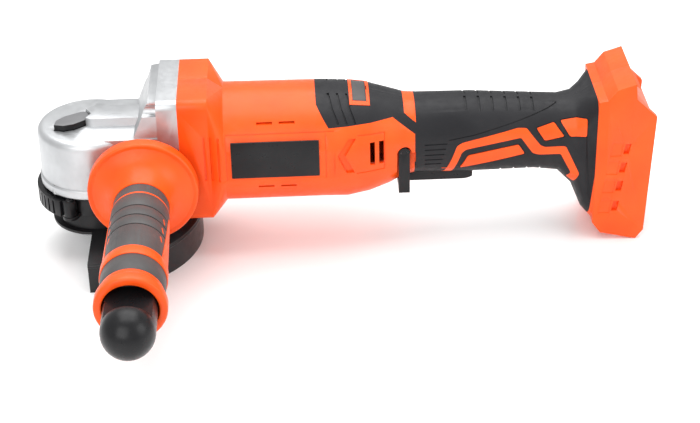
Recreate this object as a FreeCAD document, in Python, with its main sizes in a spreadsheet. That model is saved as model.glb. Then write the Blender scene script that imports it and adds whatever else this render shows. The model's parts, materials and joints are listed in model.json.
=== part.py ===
"""Cordless angle grinder with a half guard and a side handle, battery not fitted.

The spindle's end face is the origin. +Z runs up the spindle, +X runs back along the
motor axis to the battery foot, and -Y is the side that the side handle stands on.
All sizes are in millimetres and live in the sheet "Sizes".
"""
import FreeCAD, Part
import math
import os
import re
import Sketcher
from FreeCAD import Placement, Rotation, Vector

doc = FreeCAD.newDocument("angle_grinder")
sheet = doc.addObject("Spreadsheet::Sheet", "Sizes")

# ---------------------------------------------------------------- driving sizes
# Heights that end in _up or _down are measured from the motor axis.
SIZES = [
    ("axis_up", 61.0, "motor axis above the spindle's end face"),
    ("running", 0.04, "radial play of a part that turns in another"),
    ("gap", 0.5, "play between moving parts that must not touch"),
    # gear head
    ("head_r", 32.4, "radius of the gear head about the spindle"),
    ("head_up", 17.5, "flat top of the gear head"),
    ("head_round", 4.6, "rounding of the gear head's top edge"),
    ("spine_up", 23.0, "top of the raised spine on the head"),
    ("spine_half", 8.5, "half width of the spine"),
    ("case_down", 14.0, "bottom of the gear case"),
    ("neck_half", 27.5, "half width of the neck between head and flange"),
    ("flange_x", 43.5, "front face of the gear case flange"),
    ("joint_x", 56.0, "joint between gear case and motor housing"),
    ("flare_half", 32.0, "half width of the flange and of the housing's flare"),
    ("flare_up", 43.5, "top of the flange and the flare"),
    ("flare_down", 38.5, "bottom of the flange and the flare"),
    ("flange_round", 5.0, "corner radius of the flange and the flare"),
    ("case_wall", 4.4, "wall of the gear case round the gears"),
    ("cover_r", 33.2, "radius of the bearing cover"),
    ("cover_thick", 6.5, "thickness of the bearing cover's plate"),
    ("neck_r", 21.5, "radius of the cover's guard neck"),
    ("neck_down", 40.0, "lower end of the guard neck"),
    ("screw_r", 2.0, "radius of an M4 screw"),
    ("screw_head_r", 3.5, "radius of an M4 screw's head"),
    ("screw_head", 3.0, "height of an M4 screw's head"),
    ("flange_screw_y", 26.4, "flange screws off the middle plane"),
    ("flange_screw_up", 36.0, "upper flange screws"),
    ("flange_screw_down", 31.0, "lower flange screws"),
    # bevel drive
    ("pinion_teeth", 10, "teeth of the pinion"),
    ("gear_teeth", 37, "teeth of the bevel gear"),
    ("gear_pitch_r", 19.2, "outer pitch radius of the bevel gear"),
    ("tooth_face", 4.8, "face width of both gears along the radius"),
    ("tooth_high", 0.95, "height of a tooth above the pitch cone at its outer end"),
    ("tooth_deep", 1.35, "depth of a tooth below the pitch cone at its outer end"),
    ("tooth_share", 0.36, "share of the pitch that a tooth takes at the pitch cone"),
    ("gear_thick", 6.0, "thickness of the bevel gear's disc"),
    ("gear_top_down", 6.4, "top of the bevel gear's disc below the motor axis"),
    # spindle
    ("spindle_r", 7.5, "spindle radius in its ball bearing"),
    ("thread_r", 7.0, "radius of the M14 wheel thread's free end"),
    ("thread_pitch_r", 6.35, "pitch radius of the wheel thread, where the nut and flange hold it"),
    ("gear_seat_r", 6.0, "spindle radius under the bevel gear"),
    ("top_journal_r", 4.0, "spindle radius in the upper bush"),
    ("top_journal_up", 11.0, "upper end of the spindle"),
    ("bush_r", 7.0, "outer radius of the upper bush"),
    ("bush_low", 5.0, "lower end of the upper bush"),
    ("bearing_r", 17.5, "outer radius of the spindle's ball bearing"),
    ("bearing_wide", 11.0, "width of the spindle's ball bearing"),
    ("bearing_low_down", 36.0, "lower face of the spindle's ball bearing"),
    ("seat_up", 11.0, "wheel seat above the spindle's end face"),
    ("flange_disc_r", 21.0, "radius of the inner flange"),
    ("flange_disc_thick", 5.5, "thickness of the inner flange"),
    ("pilot_r", 11.1, "radius of the flange's boss for a 22.23 mm wheel bore"),
    ("pilot_high", 1.5, "height of the flange's boss"),
    ("nut_r", 20.0, "radius of the flange nut"),
    ("nut_thick", 5.0, "thickness of the flange nut"),
    # spindle lock
    ("lock_x", -10.5, "lock pin along the tool"),
    ("lock_y", -5.0, "lock pin across the tool"),
    ("lock_pin_r", 2.4, "radius of the lock pin"),
    ("button_long", 24.0, "length of the lock button"),
    ("button_wide", 13.0, "width of the lock button"),
    ("button_proud", 3.9, "lock button above the head"),
    ("button_thick", 5.2, "thickness of the lock button"),
    ("button_turn", 28.0, "turn of the lock button about the spindle, degrees"),
    # motor
    ("body_r", 36.3, "radius of the motor housing"),
    ("wall", 3.6, "wall of the motor housing"),
    ("can_front_x", 86.0, "front end of the motor can"),
    ("can_rear_x", 142.0, "rear end of the motor can"),
    ("can_wall", 2.0, "wall of the motor can"),
    ("magnet_thick", 4.2, "thickness of the magnets"),
    ("air_gap", 0.6, "air gap between magnets and armature"),
    ("core_front_x", 96.0, "front end of the armature core"),
    ("core_rear_x", 128.0, "rear end of the armature core"),
    ("shaft_r", 4.0, "radius of the armature shaft"),
    ("commutator_r", 11.0, "radius of the commutator"),
    ("small_bearing_r", 11.0, "outer radius of the armature's ball bearings"),
    ("small_bearing_wide", 7.0, "width of the armature's ball bearings"),
    ("front_bearing_x", 30.0, "front face of the armature's front bearing"),
    ("rear_bearing_x", 158.0, "front face of the armature's rear bearing"),
    ("fan_r", 27.0, "radius of the cooling fan"),
    ("fan_x", 70.0, "front face of the cooling fan"),
    ("fan_wide", 9.0, "width of the cooling fan"),
    # grip and overmould
    ("rubber", 1.6, "thickness of the overmoulded rubber"),
    ("foot_x", 311.0, "front of the battery foot"),
    ("foot_half", 27.0, "half width of the battery foot"),
    ("cheek", 4.2, "thickness of the battery foot's cheeks"),
    ("slot_x", 326.0, "floor of the battery slot"),
    ("label_x", 87.0, "front edge of the label plate"),
    ("label_long", 53.4, "length of the label plate"),
    ("label_high", 24.4, "height of the label plate"),
    ("label_down", 7.2, "lower edge of the label plate"),
    ("flat_long", 84.0, "length of the flat side panels"),
    ("flat_deep", 1.4, "depth of the flat side panels"),
    ("vent_x", 103.0, "first air slot round the label"),
    ("vent_step", 13.6, "step of the air slots round the label"),
    ("vent_long", 9.6, "length of an air slot round the label"),
    ("vent_up", 24.4, "air slots above the label"),
    ("vent_down", 15.4, "air slots below the label"),
    ("inlet_x", 171.4, "first upright air inlet"),
    ("inlet_step", 5.6, "step of the upright air inlets"),
    ("inlet_wide", 3.0, "width of an upright air inlet"),
    ("inlet_high", 15.0, "height of an upright air inlet"),
    ("shell_screw_r", 1.7, "radius of a hole for the shell's screws"),
    ("shell_head_r", 3.4, "radius of a counterbore for the shell's screws"),
    ("shell_boss_r", 4.2, "radius of the bosses of the shell's screws"),
    ("insert_x", 161.8, "front edge of the small cover on top of the housing"),
    ("insert_long", 8.6, "length of the small cover"),
    ("insert_half", 13.6, "half width of the small cover"),
    # paddle switch
    ("pivot_x", 192.8, "paddle pivot along the tool"),
    ("ear_half", 3.4, "half width of the paddle's ears"),
    ("ear_thick", 2.6, "thickness of the paddle's ears"),
    ("ear_y", 24.6, "outer face of the paddle's ears"),
    ("paddle_half", 9.5, "half width of the paddle"),
    ("paddle_rear_x", 237.0, "rear end of the paddle"),
    ("paddle_top_down", 21.8, "top of the paddle below the motor axis"),
    ("paddle_thick", 6.3, "thickness of the paddle"),
    ("pivot_pin_r", 2.0, "radius of the paddle's pivot pin"),
    ("plunger_x", 222.0, "switch plunger along the tool"),
    ("plunger_r", 2.5, "radius of the switch plunger"),
    ("lock_off_down", 2.2, "lock-off lever's pin below the top of the paddle"),
    ("lock_off_pin_r", 1.5, "radius of the lock-off lever's pin"),
    ("lock_off_half", 6.0, "half width of the lock-off lever"),
    ("board_x", 238.0, "front edge of the control board"),
    ("lead_r", 1.3, "radius of a power lead"),
    # guard
    ("guard_r", 65.5, "outer radius of the guard"),
    ("guard_thick", 1.8, "sheet thickness of the guard"),
    ("guard_top_down", 46.0, "top of the guard's plate"),
    ("guard_rim_down", 66.4, "lower rim of the guard"),
    ("guard_end_x", -2.0, "straight edge where the half guard ends"),
    ("collar_thick", 2.4, "wall of the guard's collar"),
    ("band_thick", 2.0, "thickness of the clamping band"),
    ("band_high", 8.0, "height of the clamping band"),
    ("lever_r", 36.0, "outer radius of the clamping lever"),
    ("lever_thick", 6.4, "thickness of the clamping lever"),
    ("lever_top_down", 22.2, "top of the clamping lever"),
    ("lever_high", 10.6, "height of the clamping lever"),
    ("lever_pin_r", 2.0, "radius of the clamping lever's pin"),
    ("lever_pin_at", 31.0, "lever pin from the spindle axis"),
    # side handle
    ("handle_x", 33.8, "side handle along the tool"),
    ("handle_down", 5.9, "side handle below the motor axis"),
    ("boss_y", 33.5, "end face of the gear case's handle bosses"),
    ("boss_r", 11.0, "radius of the handle bosses"),
    ("stud_r", 4.0, "radius of the M8 handle stud"),
    ("stud_deep", 13.0, "depth of the M8 holes"),
    ("shield_r", 33.1, "radius of the handle's finger shield"),
    ("shield_y", 51.8, "front face of the finger shield"),
    ("ring_y", 176.3, "end plane of the side handle"),
    ("ring_r", 20.3, "radius of the handle's end ring"),
    ("key_bore_r", 15.8, "radius of the bore in the handle's end"),
    ("handle_core_r", 14.4, "radius of the handle's core under the rubber"),
    ("handle_bore_wall_r", 16.7, "radius of the core round the knob's bore, under the rubber"),
    ("pad_front_y", 80.0, "front end of the handle's rubber pad"),
    ("pad_rear_y", 145.0, "rear end of the handle's rubber pad"),
    ("collar_front_y", 147.5, "front end of the handle's rear rubber collar"),
    ("collar_rear_y", 163.0, "rear end of the handle's rear rubber collar"),
    ("knob_r", 15.0, "radius of the key knob"),
    ("knob_out", 21.0, "centre of the knob's dome outside the ring"),
    ("knob_in", 30.0, "length of the knob inside the bore"),
]
NAMES = {name for name, value, note in SIZES}
for row, (name, value, note) in enumerate(SIZES, start=1):
    sheet.set("A%d" % row, name)
    sheet.set("B%d" % row, str(value))
    sheet.set("C%d" % row, note)
    sheet.setAlias("B%d" % row, name)
doc.recompute()

# ---------------------------------------------------------------- helpers
TO_X = Rotation(Vector(0, 1, 0), 90)        # local Z becomes +X
TO_MINUS_Y = Rotation(Vector(1, 0, 0), 90)  # local Z becomes -Y
TO_PLUS_Y = Rotation(Vector(1, 0, 0), -90)  # local Z becomes +Y
YZ_UP = Rotation(Vector(1, 1, 1), 120)      # local X, Y, Z become Y, Z, X
XZ_UP = Rotation(Vector(1, 0, 0), 90)       # local X, Y, Z become X, Z, -Y
NODES = []


def bound(text):
    """Turn an expression in the sheet's names into one that FreeCAD reads."""
    def word(match):
        found = match.group(0)
        return "Sizes." + found if found in NAMES else found
    return re.sub(r"[A-Za-z_][A-Za-z_0-9]*", word, str(text))


def size(text):
    """The value of an expression in the sheet's names."""
    return float(sheet.evalExpression(bound(text)))


def tie(item, prop, text):
    item.setExpression(prop, bound(text))


def place(item, at, turn=None):
    item.Placement = Placement(Vector(0, 0, 0), turn or Rotation())
    for axis, text in zip("xyz", at):
        tie(item, "Placement.Base." + axis, text)
    return item


def node(item, label):
    """Mark an object as a sub-part, whose label names its file."""
    item.Label = label
    NODES.append(item)
    return item


def box(lengths, at, turn=None):
    item = doc.addObject("Part::Box", "Box")
    for prop, text in zip(("Length", "Width", "Height"), lengths):
        tie(item, prop, text)
    return place(item, at, turn)


def rod(radius, length, at, turn=None):
    item = doc.addObject("Part::Cylinder", "Rod")
    tie(item, "Radius", radius)
    tie(item, "Height", length)
    return place(item, at, turn)


def ball(radius, at):
    item = doc.addObject("Part::Sphere", "Ball")
    tie(item, "Radius", radius)
    return place(item, at)


def torus(radius, wire, at, turn=None):
    item = doc.addObject("Part::Torus", "Torus")
    tie(item, "Radius1", radius)
    tie(item, "Radius2", wire)
    return place(item, at, turn)


def fuse(items):
    if len(items) == 1:
        return items[0]
    item = doc.addObject("Part::MultiFuse", "Fuse")
    item.Shapes = items
    return item


def common(first, second):
    item = doc.addObject("Part::Common", "Common")
    item.Base = first
    item.Tool = second
    return item


def cut(base, tools):
    item = doc.addObject("Part::Cut", "Cut")
    item.Base = base
    item.Tool = fuse(tools)
    return item


def carve(base, tools):
    """Cut one tool after another, for tools that overlap along curved faces."""
    for tool in tools:
        base = cut(base, [tool])
    return base


def group(items):
    """Several loose solids of one kind in one node."""
    item = doc.addObject("Part::Compound", "Group")
    item.Links = items
    return item


def sketch_outline(sketch, points):
    """A closed outline of straight edges whose corners are bound to the sheet."""
    spots = [Vector(size(first), size(second), 0) for first, second in points]
    count = len(points)
    for index in range(count):
        sketch.addGeometry(Part.LineSegment(spots[index], spots[(index + 1) % count]), False)
    for index in range(count):
        sketch.addConstraint(Sketcher.Constraint("Coincident", index, 2, (index + 1) % count, 1))
    for index, (first, second) in enumerate(points):
        for kind, text in (("DistanceX", first), ("DistanceY", second)):
            value = size(text)
            number = sketch.addConstraint(
                Sketcher.Constraint(kind, -1, 1, index, 1, value))
            sketch.setExpression("Constraints[%d]" % number, bound(text))


def body_sketch(body, plane, points):
    sketch = body.newObject("Sketcher::SketchObject", "Sketch")
    origin_plane = [f for f in body.Origin.OriginFeatures if f.Role == plane][0]
    sketch.AttachmentSupport = [(origin_plane, "")]
    sketch.MapMode = "FlatFace"
    sketch_outline(sketch, points)
    return sketch


def turned(profile, at, turn=None):
    """A body of revolution about its own Z, from (radius, height) corners."""
    body = doc.addObject("PartDesign::Body", "Turned")
    sketch = body_sketch(body, "XZ_Plane", profile)
    spin = body.newObject("PartDesign::Revolution", "Revolution")
    spin.Profile = sketch
    spin.ReferenceAxis = (sketch, ["V_Axis"])
    spin.Angle = 360
    sketch.Visibility = False
    return place(body, at, turn)


def tube(inner, outer, length, at, turn=None):
    profile = [(inner, "0"), (outer, "0"), (outer, length), (inner, length)]
    return turned(profile, at, turn)


def padded(outline, thick, at, turn=None):
    """A plate of constant thickness, from an outline in its own XY plane."""
    body = doc.addObject("PartDesign::Body", "Plate")
    sketch = body_sketch(body, "XY_Plane", outline)
    pad = body.newObject("PartDesign::Pad", "Pad")
    pad.Profile = sketch
    tie(pad, "Length", thick)
    sketch.Visibility = False
    return place(body, at, turn)


def side_plate(outline, half):
    """A plate from an outline in (X, height above the motor axis), both sides of Y=0."""
    return padded(outline, "2*(%s)" % half, ("0", half, "axis_up"), XZ_UP)


def section(x, half, up, down, corner):
    """A rounded rectangle across the motor axis, for a loft."""
    sketch = doc.addObject("Sketcher::SketchObject", "Section")
    half_value, up_value, down_value = size(half), size(up), size(down)
    round_value = size(corner)
    inner = half_value - round_value
    high = up_value - round_value
    low = -(down_value - round_value)
    corners = [
        (Vector(-inner, -down_value, 0), Vector(inner, -down_value, 0)),
        (Vector(half_value, low, 0), Vector(half_value, high, 0)),
        (Vector(inner, up_value, 0), Vector(-inner, up_value, 0)),
        (Vector(-half_value, high, 0), Vector(-half_value, low, 0)),
    ]
    texts = [
        (("-(%s-%s)" % (half, corner), "-(%s)" % down), ("(%s-%s)" % (half, corner), "-(%s)" % down)),
        ((half, "-(%s-%s)" % (down, corner)), (half, "(%s-%s)" % (up, corner))),
        (("(%s-%s)" % (half, corner), up), ("-(%s-%s)" % (half, corner), up)),
        (("-(%s)" % half, "(%s-%s)" % (up, corner)), ("-(%s)" % half, "-(%s-%s)" % (down, corner))),
    ]
    for first, second in corners:
        sketch.addGeometry(Part.LineSegment(first, second), False)
    centres = [(inner, low, -90), (inner, high, 0), (-inner, high, 90), (-inner, low, 180)]
    for across, height, start in centres:
        circle = Part.Circle(Vector(across, height, 0), Vector(0, 0, 1), round_value)
        first = math.radians(start)
        sketch.addGeometry(Part.ArcOfCircle(circle, first, first + math.pi / 2), False)
    for index in range(4):
        arc = 4 + index
        sketch.addConstraint(Sketcher.Constraint("Coincident", index, 2, arc, 1))
        sketch.addConstraint(Sketcher.Constraint("Coincident", arc, 2, (index + 1) % 4, 1))
        number = sketch.addConstraint(Sketcher.Constraint("Radius", arc, round_value))
        sketch.setExpression("Constraints[%d]" % number, bound(corner))
        for end in (0, 1):
            spot = corners[index][end]
            for kind, value, text in (
                ("DistanceX", spot.x, texts[index][end][0]),
                ("DistanceY", spot.y, texts[index][end][1]),
            ):
                number = sketch.addConstraint(
                    Sketcher.Constraint(kind, -1, 1, index, end + 1, value))
                sketch.setExpression("Constraints[%d]" % number, bound(text))
    return place(sketch, (x, "0", "axis_up"), YZ_UP)


def loft(sections):
    item = doc.addObject("Part::Loft", "Loft")
    item.Sections = sections
    item.Solid = True
    item.Ruled = True
    return item


def arc_block(inner, outer, low, high, start, sweep):
    """A block bent round Z: part of a ring, from an angle through a sweep in degrees."""
    item = doc.addObject("Part::Cylinder", "Arc")
    tie(item, "Radius", outer)
    tie(item, "Height", "(%s)-(%s)" % (high, low))
    tie(item, "Angle", sweep)
    place(item, ("0", "0", low), Rotation(Vector(0, 0, 1), start))
    bore = rod(inner, "(%s)-(%s)+2" % (high, low), ("0", "0", "%s-1" % low))
    return cut(item, [bore])


def coil(radius, wire, pitch, height, at, turn=None):
    """A compression spring about its own Z, of half turns that tilt one way and the other.

    At each joint both half turns run along Y, so the wire passes on without a kink.
    """
    halves = int(round(2 * size(height) / size(pitch)))
    rise = "(%s)/%d" % (height, halves)
    spin = turn or Rotation()
    middle = spin.multVec(Vector(0, 0, 1))
    tilt = math.degrees(math.atan2(size(rise), 2 * size(radius)))
    bends = []
    for index in range(halves):
        bend = doc.addObject("Part::Torus", "HalfTurn")
        tie(bend, "Radius1", "sqrt((%s)^2 + (%s)^2/4)" % (radius, rise))
        tie(bend, "Radius2", wire)
        bend.Angle3 = 180
        around = Rotation(Vector(0, 0, 1), 180 * index)
        lean = Rotation(Vector(0, 1, 0), tilt)
        bend.Placement = Placement(Vector(0, 0, 0), spin.multiply(around).multiply(lean))
        for axis, base, share in zip("xyz", at, middle):
            tie(bend, "Placement.Base." + axis,
                "%s + (%s)*%.6f" % (base, rise, share * (index + 0.5)))
        bends.append(bend)
    return fuse(bends)


def ball_bearing(inner, outer, wide, balls, at, turn=None):
    """Two races and a ring of balls, in one group."""
    mid = "((%s)+(%s))/2" % (inner, outer)
    ball_r = "((%s)-(%s))*0.25" % (outer, inner)
    race = "((%s)-(%s))*0.3" % (outer, inner)
    inside = tube(inner, "(%s)+%s" % (inner, race), wide, at, turn)
    outside = tube("(%s)-%s" % (outer, race), outer, wide, at, turn)
    ring = torus(mid, ball_r + "*1.02", at, turn)
    spin = turn or Rotation()
    middle = spin.multVec(Vector(0, 0, 1))
    for axis, base, share in zip("xyz", at, middle):
        tie(ring, "Placement.Base." + axis, "%s + (%s)/2*%.6f" % (base, wide, share))
    inside_cut = cut(inside, [ring])
    outside_cut = cut(outside, [ring])
    spheres = []
    for index in range(balls):
        angle = 2 * math.pi * index / balls
        out = spin.multVec(Vector(math.cos(angle), math.sin(angle), 0))
        spot = []
        for base, share, along in zip(at, out, middle):
            spot.append("%s + %s*%.6f + (%s)/2*%.6f" % (base, mid, share, wide, along))
        spheres.append(ball(ball_r, spot))
    return group([inside_cut, outside_cut] + spheres)


# ---------------------------------------------------------------- gear case
def make_gear_case():
    shoulder = []
    for step in range(5):
        angle = math.radians(22.5 * step)
        shoulder.append(("head_r-head_round*%.6f" % (1 - math.cos(angle)),
                         "axis_up+head_up-head_round*%.6f" % (1 - math.sin(angle))))
    head = turned([("0", "axis_up-case_down"), ("head_r", "axis_up-case_down")] + shoulder
                  + [("0", "axis_up+head_up")], ("0", "0", "0"))
    neck = box(("flange_x+1", "2*neck_half", "head_up+case_down"),
               ("0", "-neck_half", "axis_up-case_down"))
    spine = box(("flange_x", "2*spine_half", "spine_up-head_up+1"),
                ("4", "-spine_half", "axis_up+head_up-1"))
    nose = rod("spine_half", "spine_up-head_up+1", ("4", "0", "axis_up+head_up-1"))
    slope = side_plate([("28", "head_up-1"), ("flange_x+1", "head_up-1"),
                        ("flange_x+1", "flare_up-1"), ("flange_x-5", "flare_up-2")],
                       "neck_half-1.5")
    chin = side_plate([("24", "-case_down+1"), ("flange_x-4", "-flare_down+6"),
                       ("flange_x+1", "-flare_down+3"), ("flange_x+1", "-case_down+1")],
                      "neck_half-1.5")
    flange = loft([section(x, "flare_half", "flare_up", "flare_down", "flange_round")
                   for x in ("flange_x", "joint_x")])
    bosses = rod("boss_r", "2*boss_y", ("handle_x", "boss_y", "axis_up-handle_down"), TO_MINUS_Y)
    outside = fuse([head, neck, spine, nose, slope, chin, flange, bosses])
    chin_relief = rod("cover_r+0.8", "30", ("0", "0", "axis_up-case_down-30"))
    gear_room = rod("head_r-case_wall", "case_down+bush_low",
                    ("0", "0", "axis_up-case_down"))
    bush_bore = rod("bush_r", "top_journal_up-bush_low+3", ("0", "0", "axis_up+bush_low-1"))
    shaft_way = rod("small_bearing_r-1.5", "30", ("12", "0", "axis_up"), TO_X)
    bearing_seat = rod("small_bearing_r", "small_bearing_wide+1",
                       ("front_bearing_x", "0", "axis_up"), TO_X)
    fan_room = rod("flare_half-3.4", "joint_x-front_bearing_x",
                   ("front_bearing_x+small_bearing_wide+3", "0", "axis_up"), TO_X)
    rear_throat = rod("small_bearing_r+1.5", "12",
                      ("front_bearing_x+small_bearing_wide+0.5", "0", "axis_up"), TO_X)
    pin_way = rod("lock_pin_r+0.1", "30", ("lock_x", "lock_y", "axis_up"))
    button_well = lock_button_block("gap", "axis_up+head_up-5.4", "20")
    holes = [rod("stud_r-0.6", "stud_deep+1", ("handle_x", y, "axis_up-handle_down"), TO_MINUS_Y)
             for y in ("-boss_y+stud_deep", "boss_y+1")]
    exhausts = [box(("joint_x-flange_x-4", "8", "30"),
                    ("flange_x+5", y, "axis_up-18")) for y in ("-flare_half-3", "flare_half-5")]
    screws = []
    for y in ("flange_screw_y", "-flange_screw_y"):
        for up in ("flange_screw_up", "-flange_screw_down"):
            at = ("flange_x-20", y, "axis_up+(%s)" % up)
            screws.append(rod("screw_r+0.2", "40", at, TO_X))
            screws.append(rod("screw_head_r+0.6", "20+screw_head+0.4", at, TO_X))
    for index in range(4):
        x, y = cover_screw_at(index)
        screws.append(rod("screw_r-0.3", "10", (x, y, "axis_up-case_down-1")))
    tools = [chin_relief, gear_room, bush_bore, shaft_way, bearing_seat, fan_room,
             rear_throat, pin_way, button_well] + holes + exhausts + screws
    return node(cut(outside, tools), "gear_case")


def cover_screw_at(index):
    """Four screws near the edge of the bearing cover, at 45 degrees to the axes."""
    angle = math.radians(45 + 90 * index)
    reach = "(head_r-case_wall/2)"
    return ("%s*%.6f" % (reach, math.cos(angle)), "%s*%.6f" % (reach, math.sin(angle)))


def lock_button_block(grow, low, high):
    """The leaf shape of the lock button, grown all round, between two heights."""
    half_long = "(button_long/2+%s)" % grow
    half_wide = "(button_wide/2+%s)" % grow
    outline = [("-" + half_long, "-%s*0.15" % half_wide),
               ("-%s*0.62" % half_long, "-%s*0.8" % half_wide),
               ("-%s*0.1" % half_long, "-" + half_wide),
               ("%s*0.55" % half_long, "-%s*0.8" % half_wide),
               (half_long, "-%s*0.3" % half_wide),
               (half_long, "%s*0.75" % half_wide),
               ("%s*0.8" % half_long, half_wide),
               ("-%s*0.15" % half_long, "%s*0.95" % half_wide),
               ("-%s*0.7" % half_long, "%s*0.6" % half_wide)]
    turn = Rotation(Vector(0, 0, 1), size("button_turn"))
    return padded(outline, high, ("lock_x", "lock_y", low), turn)


def make_bearing_cover():
    profile = [
        ("bearing_r", "-bearing_low_down"),
        ("bearing_r", "-case_down-0.05"),
        ("cover_r-1.2", "-case_down-0.05"),
        ("cover_r", "-case_down-1.2"),
        ("cover_r", "-case_down-cover_thick+1"),
        ("cover_r-1", "-case_down-cover_thick"),
        ("neck_r", "-case_down-cover_thick"),
        ("neck_r", "-neck_down"),
        ("spindle_r+2.4", "-neck_down"),
        ("spindle_r+2.4", "-bearing_low_down"),
    ]
    plate = turned(profile, ("0", "0", "axis_up"))
    tools = []
    for index in range(4):
        x, y = cover_screw_at(index)
        tools.append(rod("screw_r+0.2", "cover_thick+2", (x, y, "axis_up-case_down-cover_thick-1")))
        tools.append(rod("screw_head_r-0.4", "screw_head+1",
                         (x, y, "axis_up-case_down-cover_thick-1")))
    node(cut(plate, tools), "bearing_cover")
    screws = []
    for index in range(4):
        x, y = cover_screw_at(index)
        low = "axis_up-case_down-cover_thick"
        head = rod("screw_head_r-0.6", "screw_head-0.2", (x, y, low + "+0.2"))
        stem = rod("screw_r-0.35", "cover_thick+7", (x, y, low + "+1"))
        socket = rod("1.3", "1.6", (x, y, low))
        screws.append(cut(fuse([head, stem]), [socket]))
    node(group(screws), "bearing_cover_screws")


def make_flange_screws():
    screws = []
    for y in ("flange_screw_y", "-flange_screw_y"):
        for up in ("flange_screw_up", "-flange_screw_down"):
            height = "axis_up+(%s)" % up
            head = rod("screw_head_r", "screw_head", ("flange_x+0.4", y, height), TO_X)
            stem = rod("screw_r", "26", ("flange_x+1", y, height), TO_X)
            socket = rod("1.7", "1.8", ("flange_x+0.3", y, height), TO_X)
            screws.append(cut(fuse([head, stem]), [socket]))
    node(group(screws), "gear_case_screws")


# ---------------------------------------------------------------- bevel drive
def frustum_tooth(apex_r, face, high, deep, share, teeth, cone):
    """One straight bevel tooth: a wedge that shrinks towards the cone's apex.

    The tooth lies along +X at the pitch cone's half angle above the XY plane of a
    gear whose axis is Z and whose apex is the origin.
    """
    def ring(distance):
        scale = distance / apex_r
        pitch = 2 * math.pi * distance * math.sin(cone) / teeth
        half_low = pitch * share / 2 * 1.32
        half_top = pitch * share / 2 * 0.62
        along = Vector(math.sin(cone), 0, math.cos(cone))
        out = Vector(math.cos(cone), 0, -math.sin(cone))
        side = Vector(0, 1, 0)
        base = along * distance - out * (deep * scale)
        tip = along * distance + out * (high * scale)
        spots = [base - side * half_low, base + side * half_low,
                 tip + side * half_top, tip - side * half_top]
        return Part.makePolygon(spots + spots[:1])
    return Part.makeLoft([ring(apex_r - face), ring(apex_r)], True, True)


def bevel_teeth(teeth, cone, apex_r, phase):
    """All the teeth of one bevel gear about Z, with the apex at the origin."""
    tooth = frustum_tooth(apex_r, size("tooth_face"), size("tooth_high"),
                          size("tooth_deep"), size("tooth_share"), teeth, cone)
    shapes = []
    for index in range(teeth):
        copy = tooth.copy()
        copy.rotate(Vector(0, 0, 0), Vector(0, 0, 1), 360.0 * (index + phase) / teeth)
        shapes.append(copy)
    return shapes


def cone_blank(cone, apex_r, face, deep, bore, back):
    """The blank under the teeth: a cone frustum with a flat back and a bore, about Z.

    back is the distance from the apex to the gear's back face, along the axis.
    """
    def foot(distance):
        scale = distance / apex_r
        radius = distance * math.sin(cone) - deep * scale * math.cos(cone)
        height = distance * math.cos(cone) + deep * scale * math.sin(cone)
        return radius, height
    # the blank reaches a little past the teeth, which stand a little into it
    margin, sink = 0.4, 0.25
    inner_r, inner_h = foot(apex_r - face - margin)
    outer_r, outer_h = foot(apex_r + margin)
    corners = [Vector(bore, 0, inner_h - sink * math.sin(cone)),
               Vector(inner_r, 0, inner_h - sink * math.sin(cone)),
               Vector(outer_r, 0, outer_h - sink * math.sin(cone)),
               Vector(outer_r, 0, back), Vector(bore, 0, back)]
    face_shape = Part.Face(Part.makePolygon(corners + corners[:1]))
    return face_shape.revolve(Vector(0, 0, 0), Vector(0, 0, 1), 360)


def make_bevel_gears():
    """Straight bevel gears at right angles, whose cones meet where the axes cross."""
    pinion_teeth = int(size("pinion_teeth"))
    gear_teeth = int(size("gear_teeth"))
    gear_cone = math.atan2(gear_teeth, pinion_teeth)
    pinion_cone = math.pi / 2 - gear_cone
    apex_r = size("gear_pitch_r") / math.sin(gear_cone)
    face, deep = size("tooth_face"), size("tooth_deep")
    up = size("axis_up")
    # the pinion's teeth lean along +X, the gear's teeth face up from below the motor axis
    pinion_back = apex_r * math.cos(pinion_cone) + 3.0
    blank = cone_blank(pinion_cone, apex_r, face, deep, size("shaft_r") - 1.2, pinion_back)
    pinion = blank.multiFuse(bevel_teeth(pinion_teeth, pinion_cone, apex_r, 0.5))
    pinion = pinion.removeSplitter()
    item = doc.addObject("Part::Feature", "Pinion")
    item.Shape = pinion
    item.Placement = Placement(Vector(0, 0, up), Rotation(Vector(0, 1, 0), 90))
    node(item, "pinion_gear")
    gear_back = size("gear_top_down") + size("gear_thick")
    blank = cone_blank(gear_cone, apex_r, face, deep, size("gear_seat_r"), gear_back)
    gear = blank.multiFuse(bevel_teeth(gear_teeth, gear_cone, apex_r, 0.0))
    bore_r = math.hypot(size("lock_x"), size("lock_y"))
    start = math.atan2(-size("lock_y"), size("lock_x"))
    for index in range(4):
        angle = start + index * math.pi / 2
        hole = Part.makeCylinder(size("lock_pin_r") + 0.35, 30,
                                 Vector(bore_r * math.cos(angle), bore_r * math.sin(angle), -10))
        gear = gear.cut(hole)
    item = doc.addObject("Part::Feature", "Gear")
    item.Shape = gear.removeSplitter()
    item.Placement = Placement(Vector(0, 0, up), Rotation(Vector(1, 0, 0), 180))
    node(item, "bevel_gear")


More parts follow.
